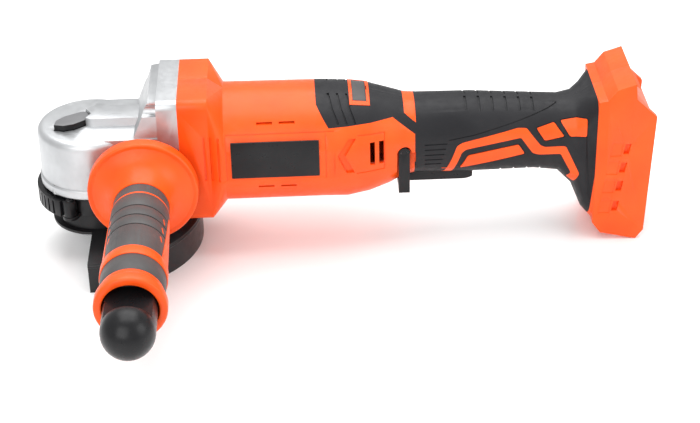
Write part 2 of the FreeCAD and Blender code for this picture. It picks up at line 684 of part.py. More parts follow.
def make_spindle():
    gear_back = "gear_top_down+gear_thick"
    profile = [
        ("0", "axis_up+top_journal_up"),
        ("top_journal_r-running", "axis_up+top_journal_up"),
        ("top_journal_r-running", "axis_up+2"),
        ("gear_seat_r", "axis_up+2"),
        ("gear_seat_r", "axis_up-(%s)" % gear_back),
        ("spindle_r+2", "axis_up-(%s)" % gear_back),
        ("spindle_r+2", "axis_up-(%s)-2" % gear_back),
        ("spindle_r-running", "axis_up-(%s)-2" % gear_back),
        ("spindle_r-running", "seat_up+flange_disc_thick+0.5"),
        ("thread_pitch_r", "seat_up+flange_disc_thick+0.1"),
        ("thread_pitch_r", "seat_up-pilot_high-nut_thick"),
        ("thread_r", "seat_up-pilot_high-nut_thick"),
        ("thread_r", "0"),
        ("0", "0"),
    ]
    node(turned(profile, ("0", "0", "0")), "spindle")
    clip = tube("gear_seat_r", "gear_seat_r+2", "1.2", ("0", "0", "axis_up-0.6"))
    node(clip, "spindle_circlip")
    flange = turned([
        ("thread_pitch_r", "seat_up-pilot_high"),
        ("pilot_r", "seat_up-pilot_high"),
        ("pilot_r", "seat_up"),
        ("flange_disc_r-0.8", "seat_up"),
        ("flange_disc_r", "seat_up+0.8"),
        ("flange_disc_r", "seat_up+2.6"),
        ("pilot_r+2", "seat_up+flange_disc_thick"),
        ("thread_pitch_r", "seat_up+flange_disc_thick"),
    ], ("0", "0", "0"))
    node(flange, "inner_flange")
    nut = turned([
        ("thread_pitch_r", "seat_up-pilot_high-nut_thick"),
        ("13", "seat_up-pilot_high-nut_thick"),
        ("14", "seat_up-pilot_high-nut_thick+2"),
        ("nut_r-0.6", "seat_up-pilot_high-nut_thick+2"),
        ("nut_r", "seat_up-pilot_high-nut_thick+2.6"),
        ("nut_r", "seat_up-pilot_high"),
        ("thread_pitch_r", "seat_up-pilot_high"),
    ], ("0", "0", "0"))
    holes = [rod("2.5", "4", ("16.8*%.6f" % math.cos(a), "16.8*%.6f" % math.sin(a),
                              "seat_up-pilot_high-nut_thick"))
             for a in (math.radians(45 + 90 * k) for k in range(4))]
    node(cut(nut, holes), "flange_nut")
    bearing = ball_bearing("spindle_r", "bearing_r", "bearing_wide", 8,
                           ("0", "0", "axis_up-bearing_low_down"))
    node(bearing, "spindle_bearing")
    node(tube("top_journal_r", "bush_r", "top_journal_up-bush_low+1",
              ("0", "0", "axis_up+bush_low")), "spindle_bush")
    node(tube("spindle_r+0.3", "spindle_r+2.4", "3", ("0", "0", "axis_up-neck_down+0.5")),
         "dust_seal")


def make_spindle_lock():
    button = lock_button_block("0", "axis_up+head_up+button_proud-button_thick", "button_thick")
    node(button, "lock_button")
    low = "axis_up-gear_top_down+2.6"
    top = "axis_up+head_up+button_proud-button_thick"
    node(rod("lock_pin_r", "(%s)-(%s)" % (top, low), ("lock_x", "lock_y", low)), "lock_pin")
    floor = "axis_up+head_up-5.4"
    spring = coil("lock_pin_r+1.4", "0.4", "1.5", "2.9", ("lock_x", "lock_y", floor + "+0.55"))
    node(spring, "lock_spring")


# ---------------------------------------------------------------- motor
def make_armature():
    pinion_front = "(gear_pitch_r-tooth_face-0.4)"
    shaft = turned([
        ("0", pinion_front + "+1"),
        ("shaft_r-1.2", pinion_front + "+1"),
        ("shaft_r-1.2", "gear_pitch_r+3"),
        ("shaft_r-running", "gear_pitch_r+3"),
        ("shaft_r-running", "rear_bearing_x+small_bearing_wide+1"),
        ("0", "rear_bearing_x+small_bearing_wide+1"),
    ], ("0", "0", "axis_up"), TO_X)
    node(shaft, "armature_shaft")
    core_r = "(body_r-wall-can_wall-magnet_thick-air_gap)"
    core = tube("shaft_r-running", core_r, "core_rear_x-core_front_x",
                ("core_front_x", "0", "axis_up"), TO_X)
    slots = []
    for index in range(12):
        angle = 30.0 * index
        slot = box(("core_rear_x-core_front_x+2", "1.4", "9"), ("core_front_x-1", "0", "axis_up"))
        spot = Rotation(Vector(1, 0, 0), angle)
        slot.Placement = Placement(Vector(0, 0, 0), spot)
        out = spot.multVec(Vector(0, -0.7, 0))
        up = spot.multVec(Vector(0, 0, 1))
        tie(slot, "Placement.Base.x", "core_front_x-1")
        tie(slot, "Placement.Base.y", "%.6f+(%s-6)*%.6f" % (out.y, core_r, up.y))
        tie(slot, "Placement.Base.z", "axis_up+%.6f+(%s-6)*%.6f" % (out.z, core_r, up.z))
        slots.append(slot)
    node(cut(core, slots), "armature_core")
    ends = []
    for start, end in (("core_front_x-9", "core_front_x"), ("core_rear_x", "core_rear_x+9")):
        ends.append(turned([
            ("shaft_r-running", start), (core_r + "-6", start), (core_r + "-3", "(%s)+3" % start),
            (core_r + "-3", "(%s)-3" % end), (core_r + "-6", end), ("shaft_r-running", end),
        ], ("0", "0", "axis_up"), TO_X))
    node(group(ends), "armature_windings")
    commutator = tube("shaft_r-running", "commutator_r", "12", ("can_rear_x-2", "0", "axis_up"), TO_X)
    node(commutator, "commutator")
    hub = tube("shaft_r-running", "9", "fan_wide", ("fan_x", "0", "axis_up"), TO_X)
    plate = tube("8", "fan_r", "1.6", ("fan_x+fan_wide-1.6", "0", "axis_up"), TO_X)
    blades = []
    for index in range(15):
        spot = Rotation(Vector(1, 0, 0), 24.0 * index)
        blade = box(("fan_wide-1", "1.4", "fan_r-9.6"), ("0", "0", "0"))
        blade.Placement = Placement(Vector(0, 0, 0), spot)
        up = spot.multVec(Vector(0, 0, 1))
        tie(blade, "Placement.Base.x", "fan_x")
        tie(blade, "Placement.Base.y", "%.6f*8.6" % up.y)
        tie(blade, "Placement.Base.z", "axis_up+%.6f*8.6" % up.z)
        blades.append(blade)
    node(fuse([hub, plate] + blades), "cooling_fan")


def make_motor_stator():
    can_r = "(body_r-wall)"
    can = tube(can_r + "-can_wall", can_r, "can_rear_x-can_front_x",
               ("can_front_x", "0", "axis_up"), TO_X)
    node(can, "motor_can")
    magnets = []
    for start in (-60, 120):
        inner = can_r + "-can_wall-magnet_thick"
        arc = arc_block(inner, can_r + "-can_wall", "core_front_x-1", "core_rear_x+1",
                        start, "120")
        magnets.append(arc)
    magnet_pair = group(magnets)
    magnet_pair.Placement = Placement(Vector(0, 0, 0), TO_X)
    tie(magnet_pair, "Placement.Base.z", "axis_up")
    node(magnet_pair, "motor_magnets")
    plate = tube("small_bearing_r+4", "body_r-wall-1.8", "3", ("can_rear_x", "0", "axis_up"), TO_X)
    cup = tube("small_bearing_r", "small_bearing_r+3", "small_bearing_wide+2",
               ("rear_bearing_x-1", "0", "axis_up"), TO_X)
    legs = [box(("rear_bearing_x-can_rear_x+5", "4", "3.2"),
                ("can_rear_x+1", "-2", "axis_up+(%s)" % up))
            for up in ("small_bearing_r+1.9", "-small_bearing_r-5.1")]
    ring = tube("small_bearing_r+0.5", "small_bearing_r+6", "3",
                ("rear_bearing_x+1", "0", "axis_up"), TO_X)
    ring = cut(ring, [rod("small_bearing_r+1", "3.2", ("rear_bearing_x+0.9", "0", "axis_up"), TO_X)])
    node(fuse([plate, cup, ring] + legs), "brush_plate")
    holders, brushes, springs = [], [], []
    for sign, turn in (("", TO_PLUS_Y), ("-", TO_MINUS_Y)):
        case = box(("8.6", "11", "7.2"), ("0", "0", "0"))
        start = "commutator_r+1.6" if sign == "" else "-commutator_r-1.6-11"
        place(case, ("can_rear_x+3.1", start, "axis_up-3.6"))
        hollow_y = "commutator_r+0.6" if sign == "" else "-commutator_r-1.6-12"
        hollow = box(("6.4", "13", "5"), ("can_rear_x+4.2", hollow_y, "axis_up-2.5"))
        holders.append(cut(case, [hollow]))
        block_y = "commutator_r+0.15" if sign == "" else "-commutator_r-0.15-7"
        brushes.append(box(("6", "7", "4.6"), ("can_rear_x+4.4", block_y, "axis_up-2.3")))
        spring_y = sign + "(commutator_r+7.6)"
        springs.append(coil("1.6", "0.3", "1.1", "3.6",
                            ("can_rear_x+7.4", spring_y, "axis_up"), turn))
    node(group(holders), "brush_holders")
    node(group(brushes), "carbon_brushes")
    node(group(springs), "brush_springs")
    node(ball_bearing("shaft_r", "small_bearing_r", "small_bearing_wide", 7,
                      ("front_bearing_x", "0", "axis_up"), TO_X), "front_bearing")
    node(ball_bearing("shaft_r", "small_bearing_r", "small_bearing_wide", 7,
                      ("rear_bearing_x", "0", "axis_up"), TO_X), "rear_bearing")
    baffle = tube("14", "flare_half-wall-0.2", "2", ("fan_x+fan_wide+2", "0", "axis_up"), TO_X)
    node(baffle, "fan_baffle")


# ---------------------------------------------------------------- housing
# Each row: place along X, half width, height above and below the motor axis, corner radius.
STATIONS = [
    ("joint_x", "flare_half", "flare_up", "flare_down", "flange_round"),
    ("joint_x+18", "flare_half", "flare_up", "flare_down", "flange_round"),
    ("joint_x+27", "body_r", "body_r+0.6", "body_r", "body_r-0.3"),
    ("joint_x+88", "body_r", "body_r", "body_r", "body_r-0.3"),
    ("joint_x+102", "body_r-1.6", "body_r-1.3", "body_r", "body_r-3.3"),
    ("joint_x+116", "body_r-4.5", "body_r-3.3", "body_r-2.9", "body_r-6.8"),
    ("joint_x+128", "body_r-8.3", "body_r-6.8", "body_r-7.3", "body_r-10.8"),
    ("joint_x+138", "25", "26.5", "23.5", "22.5"),
    ("joint_x+146", "23.2", "26.2", "22.8", "21.5"),
    ("joint_x+180", "21.6", "26.2", "24.2", "20.5"),
    ("joint_x+219", "20.6", "23.8", "24", "19.8"),
    ("joint_x+234", "20.8", "22.6", "25.8", "19.6"),
    ("joint_x+243", "22", "23.4", "34.5", "18"),
    ("joint_x+249", "24.4", "26.4", "48.5", "15"),
    ("foot_x", "foot_half-0.6", "31", "53.5", "9"),
]


def housing_loft(inset, first=0, last=None):
    rows = STATIONS[first:last]
    sections = []
    for x, half, up, down, corner in rows:
        sections.append(section(x, "(%s-%s)" % (half, inset), "(%s-%s)" % (up, inset),
                                "(%s-%s)" % (down, inset), "(%s-%s)" % (corner, inset)))
    return loft(sections)


FOOT_OUTLINE = [
    ("foot_x", "-53.5"), ("foot_x+5.4", "-61"), ("foot_x+28", "-guard_rim_down"),
    ("foot_x+32.7", "-60"), ("foot_x+36.1", "19.9"), ("foot_x+23", "32.5"),
    ("foot_x+22.2", "42.6"), ("foot_x+11", "39"), ("foot_x+5.5", "32"), ("foot_x", "31"),
]
HOUSING_SCREWS = [("179", "-17"), ("179", "21"), ("212", "17"), ("268", "14"),
                  ("300", "-16"), ("foot_x+6", "-44")]


def grip_region():
    """Side outline of the rubber on one side: the saddle, the grip and the rear flare."""
    return side_plate([
        ("138", "60"), ("139.5", "32"), ("146.5", "21.5"), ("186", "22.5"), ("199.5", "12"),
        ("199.5", "-40"), ("304", "-70"), ("308.2", "-53"), ("315.5", "32"), ("315.5", "60"),
    ], "60")


def make_housing():
    outer = housing_loft("0")
    foot = side_plate(FOOT_OUTLINE, "foot_half")
    skin = fuse([outer, foot])
    flats = [box(("flat_long", "10", "36"), ("joint_x+10", y, "axis_up-16"))
             for y in ("-body_r-10+flat_deep", "body_r-flat_deep")]
    inner = housing_loft("wall")
    foot_room = box(("slot_x-foot_x-3", "2*(foot_half-cheek)", "74"),
                    ("foot_x-1", "-foot_half+cheek", "axis_up-50"))
    slot = box(("40", "2*(foot_half-cheek)", "100"),
               ("slot_x", "-foot_half+cheek", "axis_up-76"))
    terminal_way = box(("6", "24", "18"), ("slot_x-4.5", "-12", "axis_up-6"))
    shell = carve(cut(skin, flats), [inner, foot_room, slot, terminal_way])
    # the rubber lies in a bed as deep as itself
    region = grip_region()
    layer = cut(common(outer, region), [housing_loft("rubber", 2)])
    plastic = cut(shell, [layer])
    bosses = []
    for x, up in HOUSING_SCREWS:
        bosses.append(rod("shell_boss_r", "2*body_r", (x, "body_r", "axis_up+(%s)" % up),
                          TO_MINUS_Y))
    webs = [box(("13", "3", "60"), ("pivot_x-6.5", y, "axis_up-30")) for y in ("17.2", "-20.2")]
    inside = common(fuse(bosses + webs), fuse([housing_loft("(rubber+0.4)", 2),
                                               side_plate(FOOT_OUTLINE, "foot_half-1")]))
    corner_bosses = []
    for y in ("flange_screw_y", "-flange_screw_y"):
        for up in ("flange_screw_up", "-flange_screw_down"):
            corner_bosses.append(rod("4.6", "17", ("joint_x", y, "axis_up+(%s)" % up), TO_X))
    corners = common(fuse(corner_bosses), housing_loft("0.3", 0, 2))
    rails = []
    for y in ("foot_half-cheek-3", "-foot_half+cheek"):
        rails.append(box(("3.4", "3", "70"), ("slot_x+9", y, "axis_up-52")))
    whole = fuse([plastic, inside, corners] + rails)
    tools = [slot_for_paddle()] + shell_screw_holes()
    for y in ("flange_screw_y", "-flange_screw_y"):
        for up in ("flange_screw_up", "-flange_screw_down"):
            tools.append(rod("screw_r", "18", ("joint_x-1", y, "axis_up+(%s)" % up), TO_X))
    tools += vents() + ear_slots()
    tools.append(rod("pivot_pin_r", "60", ("pivot_x", "-30", "axis_up"), TO_PLUS_Y))
    tools.append(rod("plunger_r+1.7", "14", ("plunger_x", "0", "axis_up-24")))
    tools.append(rod("lock_off_pin_r+gap", "2*(paddle_half+gap+2)",
                     ("pivot_x", "-paddle_half-gap-2", LOCK_OFF_AXIS), TO_PLUS_Y))
    finished = cut(whole, tools)
    sides = {
        "left": box(("400", "60", "200"), ("0", "-60", "axis_up-100")),
        "right": box(("400", "60", "200"), ("0", "0", "axis_up-100")),
    }
    rubber_body = cut(layer, [slot_for_paddle()] + ear_slots() + [insert_block("0.3")] + band_gap()
                      + shell_screw_holes())
    for side in ("left", "right"):
        node(common(finished, sides[side]), "housing_" + side)
        node(common(rubber_body, sides[side]), "overmould_" + side)
    band = common(common(outer, region), fuse(band_gap()))
    band = cut(band, [housing_loft("rubber", 2)])
    node(band, "grip_band")
    node(common(layer, insert_block("0")), "top_insert")


def shell_screw_holes():
    """Holes and counterbores of the screws that join the halves, driven from +Y."""
    holes = []
    for x, up in HOUSING_SCREWS:
        height = "axis_up+(%s)" % up
        holes.append(rod("shell_screw_r", "40", (x, "-17", height), TO_PLUS_Y))
        holes.append(rod("shell_head_r", "40", (x, "16", height), TO_PLUS_Y))
    return holes


def slot_for_paddle():
    """Room above the paddle and its lock-off lever, through the bottom wall."""
    return fuse([
        box(("paddle_rear_x-pivot_x+7.5", "2*(paddle_half+gap)", "11"),
            ("pivot_x-4", "-paddle_half-gap", "axis_up-paddle_top_down-4.8")),
        box(("2*ear_half+5", "2*(ear_y+gap)", "paddle_thick+2.4"),
            ("pivot_x-ear_half-1.2", "-ear_y-gap", "axis_up-paddle_top_down-paddle_thick-4")),
        box(("15", "14", "17"), ("pivot_x-13.5", "-7", "axis_up-paddle_top_down-14")),
    ])


def ear_slots():
    """Slots in both sides of the housing, where the paddle's ears swing."""
    tools = []
    for y in ("ear_y-ear_thick-1.2", "-ear_y-4"):
        tools.append(box(("2*ear_half+5", "ear_thick+5.2", "paddle_top_down+paddle_thick+4"),
                         ("pivot_x-ear_half-1.2", y, "axis_up-paddle_top_down-paddle_thick-4")))
        tools.append(rod("ear_half+1.2", "ear_thick+5.2", ("pivot_x", y, "axis_up"), TO_PLUS_Y))
    return tools


def insert_block(grow):
    """The space of the small cover on top, astride the joint, grown all round."""
    return box(("insert_long+2*%s" % grow, "2*(insert_half+%s)" % grow, "20"),
               ("insert_x-%s" % grow, "-insert_half-%s" % grow, "axis_up+body_r-16"))


def band_gap():
    """The gap in the rubber where the coloured band shows on both sides and the top."""
    return [side_plate([("193.3", "60"), ("193.3", "23"), ("200.3", "18"), ("200.3", "60")], "60")]


def vents():
    """Air inlets: thin slots above and below the label and wide ones behind it."""
    tools = []
    for y in ("-body_r-2", "body_r-18"):
        for x in ("vent_x", "vent_x+vent_step"):
            for up in ("+vent_up", "-vent_down"):
                tools.append(box(("vent_long", "20", "1.4"), (x, y, "axis_up" + up)))
        for x in ("inlet_x", "inlet_x+inlet_step"):
            tools.append(box(("inlet_wide", "20", "inlet_high"), (x, y, "axis_up-3.5")))
    return tools


def make_trim():
    for side, y in (("left", "-body_r+flat_deep-1"), ("right", "body_r-flat_deep")):
        plate = box(("label_long", "1", "label_high"), ("label_x", y, "axis_up-label_down"))
        node(plate, "nameplate_" + side)
    screws = []
    for x, up in HOUSING_SCREWS:
        height = "axis_up+(%s)" % up
        head = rod("shell_head_r-0.3", "2.4", (x, "16", height), TO_PLUS_Y)
        stem = rod("shell_screw_r-0.05", "30", (x, "-13", height), TO_PLUS_Y)
        socket = rod("1.2", "1.4", (x, "17.2", height), TO_PLUS_Y)
        screws.append(cut(fuse([head, stem]), [socket]))
    node(group(screws), "housing_screws")


# ---------------------------------------------------------------- switch and electrics
LOCK_OFF_AXIS = "axis_up-paddle_top_down-lock_off_down"


def make_paddle():
    low = "axis_up-paddle_top_down-paddle_thick"
    bar = box(("paddle_rear_x-pivot_x", "2*paddle_half", "paddle_thick"),
              ("pivot_x", "-paddle_half", low))
    tail = rod("paddle_half", "paddle_thick", ("paddle_rear_x-paddle_half+2.4", "0", low))
    tail = common(bar, fuse([tail, box(("paddle_rear_x-pivot_x-paddle_half+2.4", "2*paddle_half",
                                        "paddle_thick"), ("pivot_x", "-paddle_half", low))]))
    bridge = box(("2*ear_half", "2*ear_y", "paddle_thick-2.4"), ("pivot_x-ear_half", "-ear_y", low))
    ears = []
    for y in ("ear_y-ear_thick", "-ear_y"):
        ears.append(box(("2*ear_half", "ear_thick", "paddle_top_down+paddle_thick"),
                        ("pivot_x-ear_half", y, low)))
        ears.append(rod("ear_half", "ear_thick", ("pivot_x", y, "axis_up"), TO_PLUS_Y))
    nose = side_plate([("pivot_x-2", "-paddle_top_down-paddle_thick"),
                       ("pivot_x+4", "-paddle_top_down-paddle_thick"),
                       ("pivot_x+4", "-paddle_top_down"), ("pivot_x-2", "-paddle_top_down-1")],
                      "paddle_half")
    solid = fuse([tail, bridge, nose] + ears)
    tools = [rod("pivot_pin_r+running", "60", ("pivot_x", "-30", "axis_up"), TO_PLUS_Y),
             rod("lock_off_pin_r+running", "40", ("pivot_x", "-20", LOCK_OFF_AXIS), TO_PLUS_Y),
             box(("14", "2*(lock_off_half+0.4)", "16"),
                 ("pivot_x-10.4", "-lock_off_half-0.4", "axis_up-paddle_top_down-12"))]
    node(cut(solid, tools), "paddle")
    pin = rod("pivot_pin_r", "2*ear_y-0.6", ("pivot_x", "-ear_y+0.3", "axis_up"), TO_PLUS_Y)
    node(pin, "paddle_pin")
    node(rod("lock_off_pin_r", "22", ("pivot_x", "-11", LOCK_OFF_AXIS), TO_PLUS_Y),
         "lock_off_pin")
    top = "-paddle_top_down"
    tab = side_plate([("pivot_x-1.9", top + "-4.6"), ("pivot_x-1.9", top + "+0.2"),
                      ("pivot_x-5", top + "-1.8"), ("pivot_x-8.6", top + "-5.2"),
                      ("pivot_x-6.6", top + "-8.4"), ("pivot_x-4", top + "-6")],
                     "lock_off_half")
    hub = rod("lock_off_pin_r+1.4", "2*lock_off_half", ("pivot_x", "-lock_off_half", LOCK_OFF_AXIS),
              TO_PLUS_Y)
    web = box(("3", "2*lock_off_half", "3.6"),
              ("pivot_x-3", "-lock_off_half", "axis_up-paddle_top_down-4.2"))
    pin_way = rod("lock_off_pin_r+running", "20", ("pivot_x", "-10", LOCK_OFF_AXIS), TO_PLUS_Y)
    node(cut(fuse([tab, hub, web]), [pin_way]), "lock_off_lever")
    body = box(("24", "15", "15"), ("plunger_x-14", "-7.5", "axis_up-10"))
    node(cut(body, [rod("plunger_r+0.1", "8", ("plunger_x", "0", "axis_up-11"))]), "switch_body")
    node(rod("plunger_r", "paddle_top_down-6.6", ("plunger_x", "0", "axis_up-paddle_top_down+gap")),
         "switch_plunger")
    spring = coil("3.2", "0.45", "1.9", "paddle_top_down-11.9",
                  ("plunger_x-8.5", "0", "axis_up-paddle_top_down+0.7"))
    node(spring, "paddle_spring")


def make_electrics():
    board = box(("38", "24", "1.6"), ("board_x", "-12", "axis_up-6"))
    sink = box(("16", "18", "6"), ("board_x+4", "-9", "axis_up-4.4"))
    fins = [box(("1.8", "20", "3.4"), ("board_x+6.2+3.6*%d" % index, "-10", "axis_up-0.8"))
            for index in range(4)]
    caps = [rod("4", "9", (x, "0", "axis_up-4.4")) for x in ("board_x+27", "board_x+34")]
    node(fuse([board, cut(sink, fins)] + caps), "control_board")
    block = box(("16", "23", "17"), ("slot_x-11", "-11.5", "axis_up-5.5"))
    slots = [box(("9", "1.4", "12"), ("slot_x-2", y, "axis_up-3")) for y in ("-7.7", "-0.7", "6.3")]
    node(cut(block, slots), "terminal_block")
    blades = [box(("6.4", "0.8", "9"), ("slot_x-2", y, "axis_up-1.5"))
              for y in ("-7.4", "-0.4", "6.6")]
    node(group(blades), "terminal_blades")
    leads = []
    for y in ("-4", "4"):
        leads.append(rod("lead_r", "slot_x-11-(plunger_x+10)", ("plunger_x+10", y, "axis_up+8"),
                         TO_X))
        leads.append(rod("lead_r", "plunger_x-14-174", ("174", y, "axis_up+3.7"), TO_X))
    node(group(leads), "power_leads")


# ---------------------------------------------------------------- guard
GUARD_PIN_ANGLE = 243.0


def on_pin_radius(extra="0"):
    angle = math.radians(GUARD_PIN_ANGLE)
    reach = "(lever_pin_at+%s)" % extra
    return ("%s*%.6f" % (reach, math.cos(angle)), "%s*%.6f" % (reach, math.sin(angle)))


def make_guard():
    collar_r = "(neck_r+gap+collar_thick)"
    top = "axis_up-guard_top_down"
    rim = "axis_up-guard_rim_down"
    half = box(("200", "200", "100"), ("guard_end_x", "-100", rim + "-10"))
    disc = rod("guard_r", "guard_thick", ("0", "0", top + "-guard_thick"))
    wall = tube("guard_r-guard_thick", "guard_r", "guard_rim_down-guard_top_down",
                ("0", "0", rim))
    bead = torus("guard_r-guard_thick/2", "guard_thick*0.75", ("0", "0", top + "-2"))
    lip = torus("guard_r-guard_thick/2", "guard_thick/2", ("0", "0", rim + "+guard_thick/2"))
    middle = rod(collar_r + "+4", "guard_thick", ("0", "0", top + "-guard_thick"))
    collar = rod(collar_r, "guard_top_down-lever_top_down-1", ("0", "0", top))
    sheet_half = common(fuse([disc, wall, bead, lip]), half)
    body = cut(fuse([sheet_half, middle, collar]), [rod("neck_r+gap", "100", ("0", "0", rim))])
    node(body, "wheel_guard")
    band_low = "axis_up-lever_top_down-2-band_high"
    band = tube(collar_r, collar_r + "+band_thick", "band_high", ("0", "0", band_low))
    x, y = on_pin_radius()
    ear = rod("4.6", "2.2", (x, y, "axis_up-lever_top_down-lever_high-2.6"))
    turn = Rotation(Vector(0, 0, 1), GUARD_PIN_ANGLE)
    arm = box(("lever_pin_at-(%s)+0.5" % collar_r, "9.2", "2.2"), ("0", "0", "0"))
    arm.Placement = Placement(Vector(0, 0, 0), turn)
    side = turn.multVec(Vector(0, -4.6, 0))
    out = turn.multVec(Vector(1, 0, 0))
    tie(arm, "Placement.Base.x", "%.6f+(%s)*%.6f" % (side.x, collar_r, out.x))
    tie(arm, "Placement.Base.y", "%.6f+(%s)*%.6f" % (side.y, collar_r, out.y))
    tie(arm, "Placement.Base.z", "axis_up-lever_top_down-lever_high-2.6")
    skirt = tube(collar_r, collar_r + "+band_thick", "4.4",
                 ("0", "0", "axis_up-lever_top_down-lever_high-2.6"))
    band = cut(fuse([band, skirt, arm, ear]), [rod("lever_pin_r", "20", (x, y, "axis_up-44"))])
    node(band, "guard_band")
    node(rod("lever_pin_r", "lever_high+3.2", (x, y, "axis_up-lever_top_down-lever_high-2.8")),
         "guard_lever_pin")
    inner = "(lever_r-lever_thick)"
    low = "axis_up-lever_top_down-lever_high"
    grip = arc_block(inner, "lever_r", low, "axis_up-lever_top_down", 130, "107")
    hub = rod("4.4", "lever_high", (x, y, low))
    lever = cut(fuse([grip, hub]), [rod("lever_pin_r+running", "30", (x, y, "axis_up-48"))])
    node(lever, "guard_lever")


# ---------------------------------------------------------------- side handle
def make_handle():
    at = ("handle_x", "0", "axis_up-handle_down")
    core_end = "ring_y-9"
    core = turned([
        ("stud_r", "boss_y+0.1"), ("13", "boss_y+0.1"), ("14", "boss_y+6"),
        ("19", "boss_y+8.4"), ("shield_r-1", "shield_y-9"), ("shield_r", "shield_y-7.6"),
        ("shield_r", "shield_y-0.8"), ("shield_r-0.8", "shield_y"), ("22", "shield_y-3.2"),
        ("handle_core_r+1.6", "shield_y-2.6"), ("handle_core_r", "shield_y"),
        ("handle_core_r", "pad_front_y-2"), ("handle_core_r+2.6", "pad_front_y-2"),
        ("handle_core_r+2.6", "pad_front_y"), ("handle_core_r", "pad_front_y"),
        ("handle_core_r", "pad_rear_y-11"), ("handle_bore_wall_r", "pad_rear_y-9"),
        ("handle_bore_wall_r", "pad_rear_y"), ("handle_core_r+4", "pad_rear_y"),
        ("handle_core_r+4", "collar_front_y"), ("handle_bore_wall_r", "collar_front_y"),
        ("handle_bore_wall_r", "collar_rear_y"), ("handle_core_r+4", "collar_rear_y"),
        ("handle_core_r+4", core_end),
        ("key_bore_r", core_end), ("key_bore_r", "ring_y-knob_in-8"),
        ("4.6", "ring_y-knob_in-8"), ("4.6", "shield_y+26"), ("stud_r", "shield_y+26"),
    ], at, TO_MINUS_Y)
    node(core, "handle_core")
    sleeve = turned([
        ("handle_core_r", "shield_y+0.4"), ("handle_core_r+2", "shield_y+0.4"),
        ("handle_core_r+2.2", "pad_front_y-2"), ("handle_core_r", "pad_front_y-2"),
    ], at, TO_MINUS_Y)
    pad = turned([
        ("handle_core_r", "pad_front_y"), ("handle_core_r+2.8", "pad_front_y"),
        ("handle_core_r+4", "pad_rear_y"), ("handle_bore_wall_r", "pad_rear_y"),
        ("handle_bore_wall_r", "pad_rear_y-9"), ("handle_core_r", "pad_rear_y-11"),
    ], at, TO_MINUS_Y)
    collar = tube("handle_bore_wall_r", "handle_core_r+4", "collar_rear_y-collar_front_y",
                  at, TO_MINUS_Y)
    tie(collar, "Placement.Base.y", "-collar_front_y")
    node(group([sleeve, pad, collar]), "handle_grip")
    ring = turned([
        ("key_bore_r", core_end), ("handle_core_r+4", core_end), ("ring_r", "ring_y-7"),
        ("ring_r", "ring_y-1"), ("ring_r-1", "ring_y"), ("key_bore_r", "ring_y"),
    ], at, TO_MINUS_Y)
    node(ring, "handle_end_ring")
    stud = turned([
        ("0", "boss_y-stud_deep+1"), ("stud_r-0.65", "boss_y-stud_deep+1"),
        ("stud_r-0.65", "boss_y+0.1"), ("stud_r", "boss_y+0.1"),
        ("stud_r", "shield_y+20"), ("0", "shield_y+20"),
    ], at, TO_MINUS_Y)
    node(stud, "handle_stud")
    knob = fuse([
        rod("knob_r", "knob_in+knob_out", ("handle_x", "-ring_y+knob_in", "axis_up-handle_down"),
            TO_MINUS_Y),
        ball("knob_r", ("handle_x", "-ring_y-knob_out", "axis_up-handle_down")),
    ])
    flat = box(("40", "30", "20"), ("handle_x-20", "-ring_y-18", "axis_up-handle_down+knob_r*0.5"))
    node(cut(knob, [flat]), "key_knob")
    node(rod("2.9", "52", ("handle_x", "-ring_y+knob_in+52", "axis_up-handle_down"), TO_MINUS_Y),
         "hex_key")


make_gear_case()
make_bearing_cover()
make_flange_screws()
make_bevel_gears()
make_spindle()
make_spindle_lock()
make_armature()
make_motor_stator()
make_housing()
make_trim()
make_paddle()
make_electrics()
make_guard()
make_handle()
doc.recompute()

# ---------------------------------------------------------------- checks and export
for item in doc.Objects:
    if "Invalid" in item.State or "Error" in item.State:
        raise RuntimeError("failed object: %s (%s)" % (item.Label, item.Name))
os.makedirs("parts", exist_ok=True)
for item in NODES:
    shape = item.Shape
    if shape.isNull() or not shape.isValid():
        raise RuntimeError("bad shape: " + item.Label)
    print("%-22s solids %2d volume %10.1f" % (item.Label, len(shape.Solids), shape.Volume))
    shape.exportStep("parts/%s.step" % item.Label)
print(len(NODES), "sub-parts")
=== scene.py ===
"""Looks of a cordless angle grinder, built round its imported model.

All lengths are in metres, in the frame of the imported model: +X runs back along the motor
axis, +Z is up the spindle and -Y is the side that the handle stands on.
"""

import json
import math

import bmesh
import bpy
from mathutils import Matrix, Vector
from mathutils.bvhtree import BVHTree


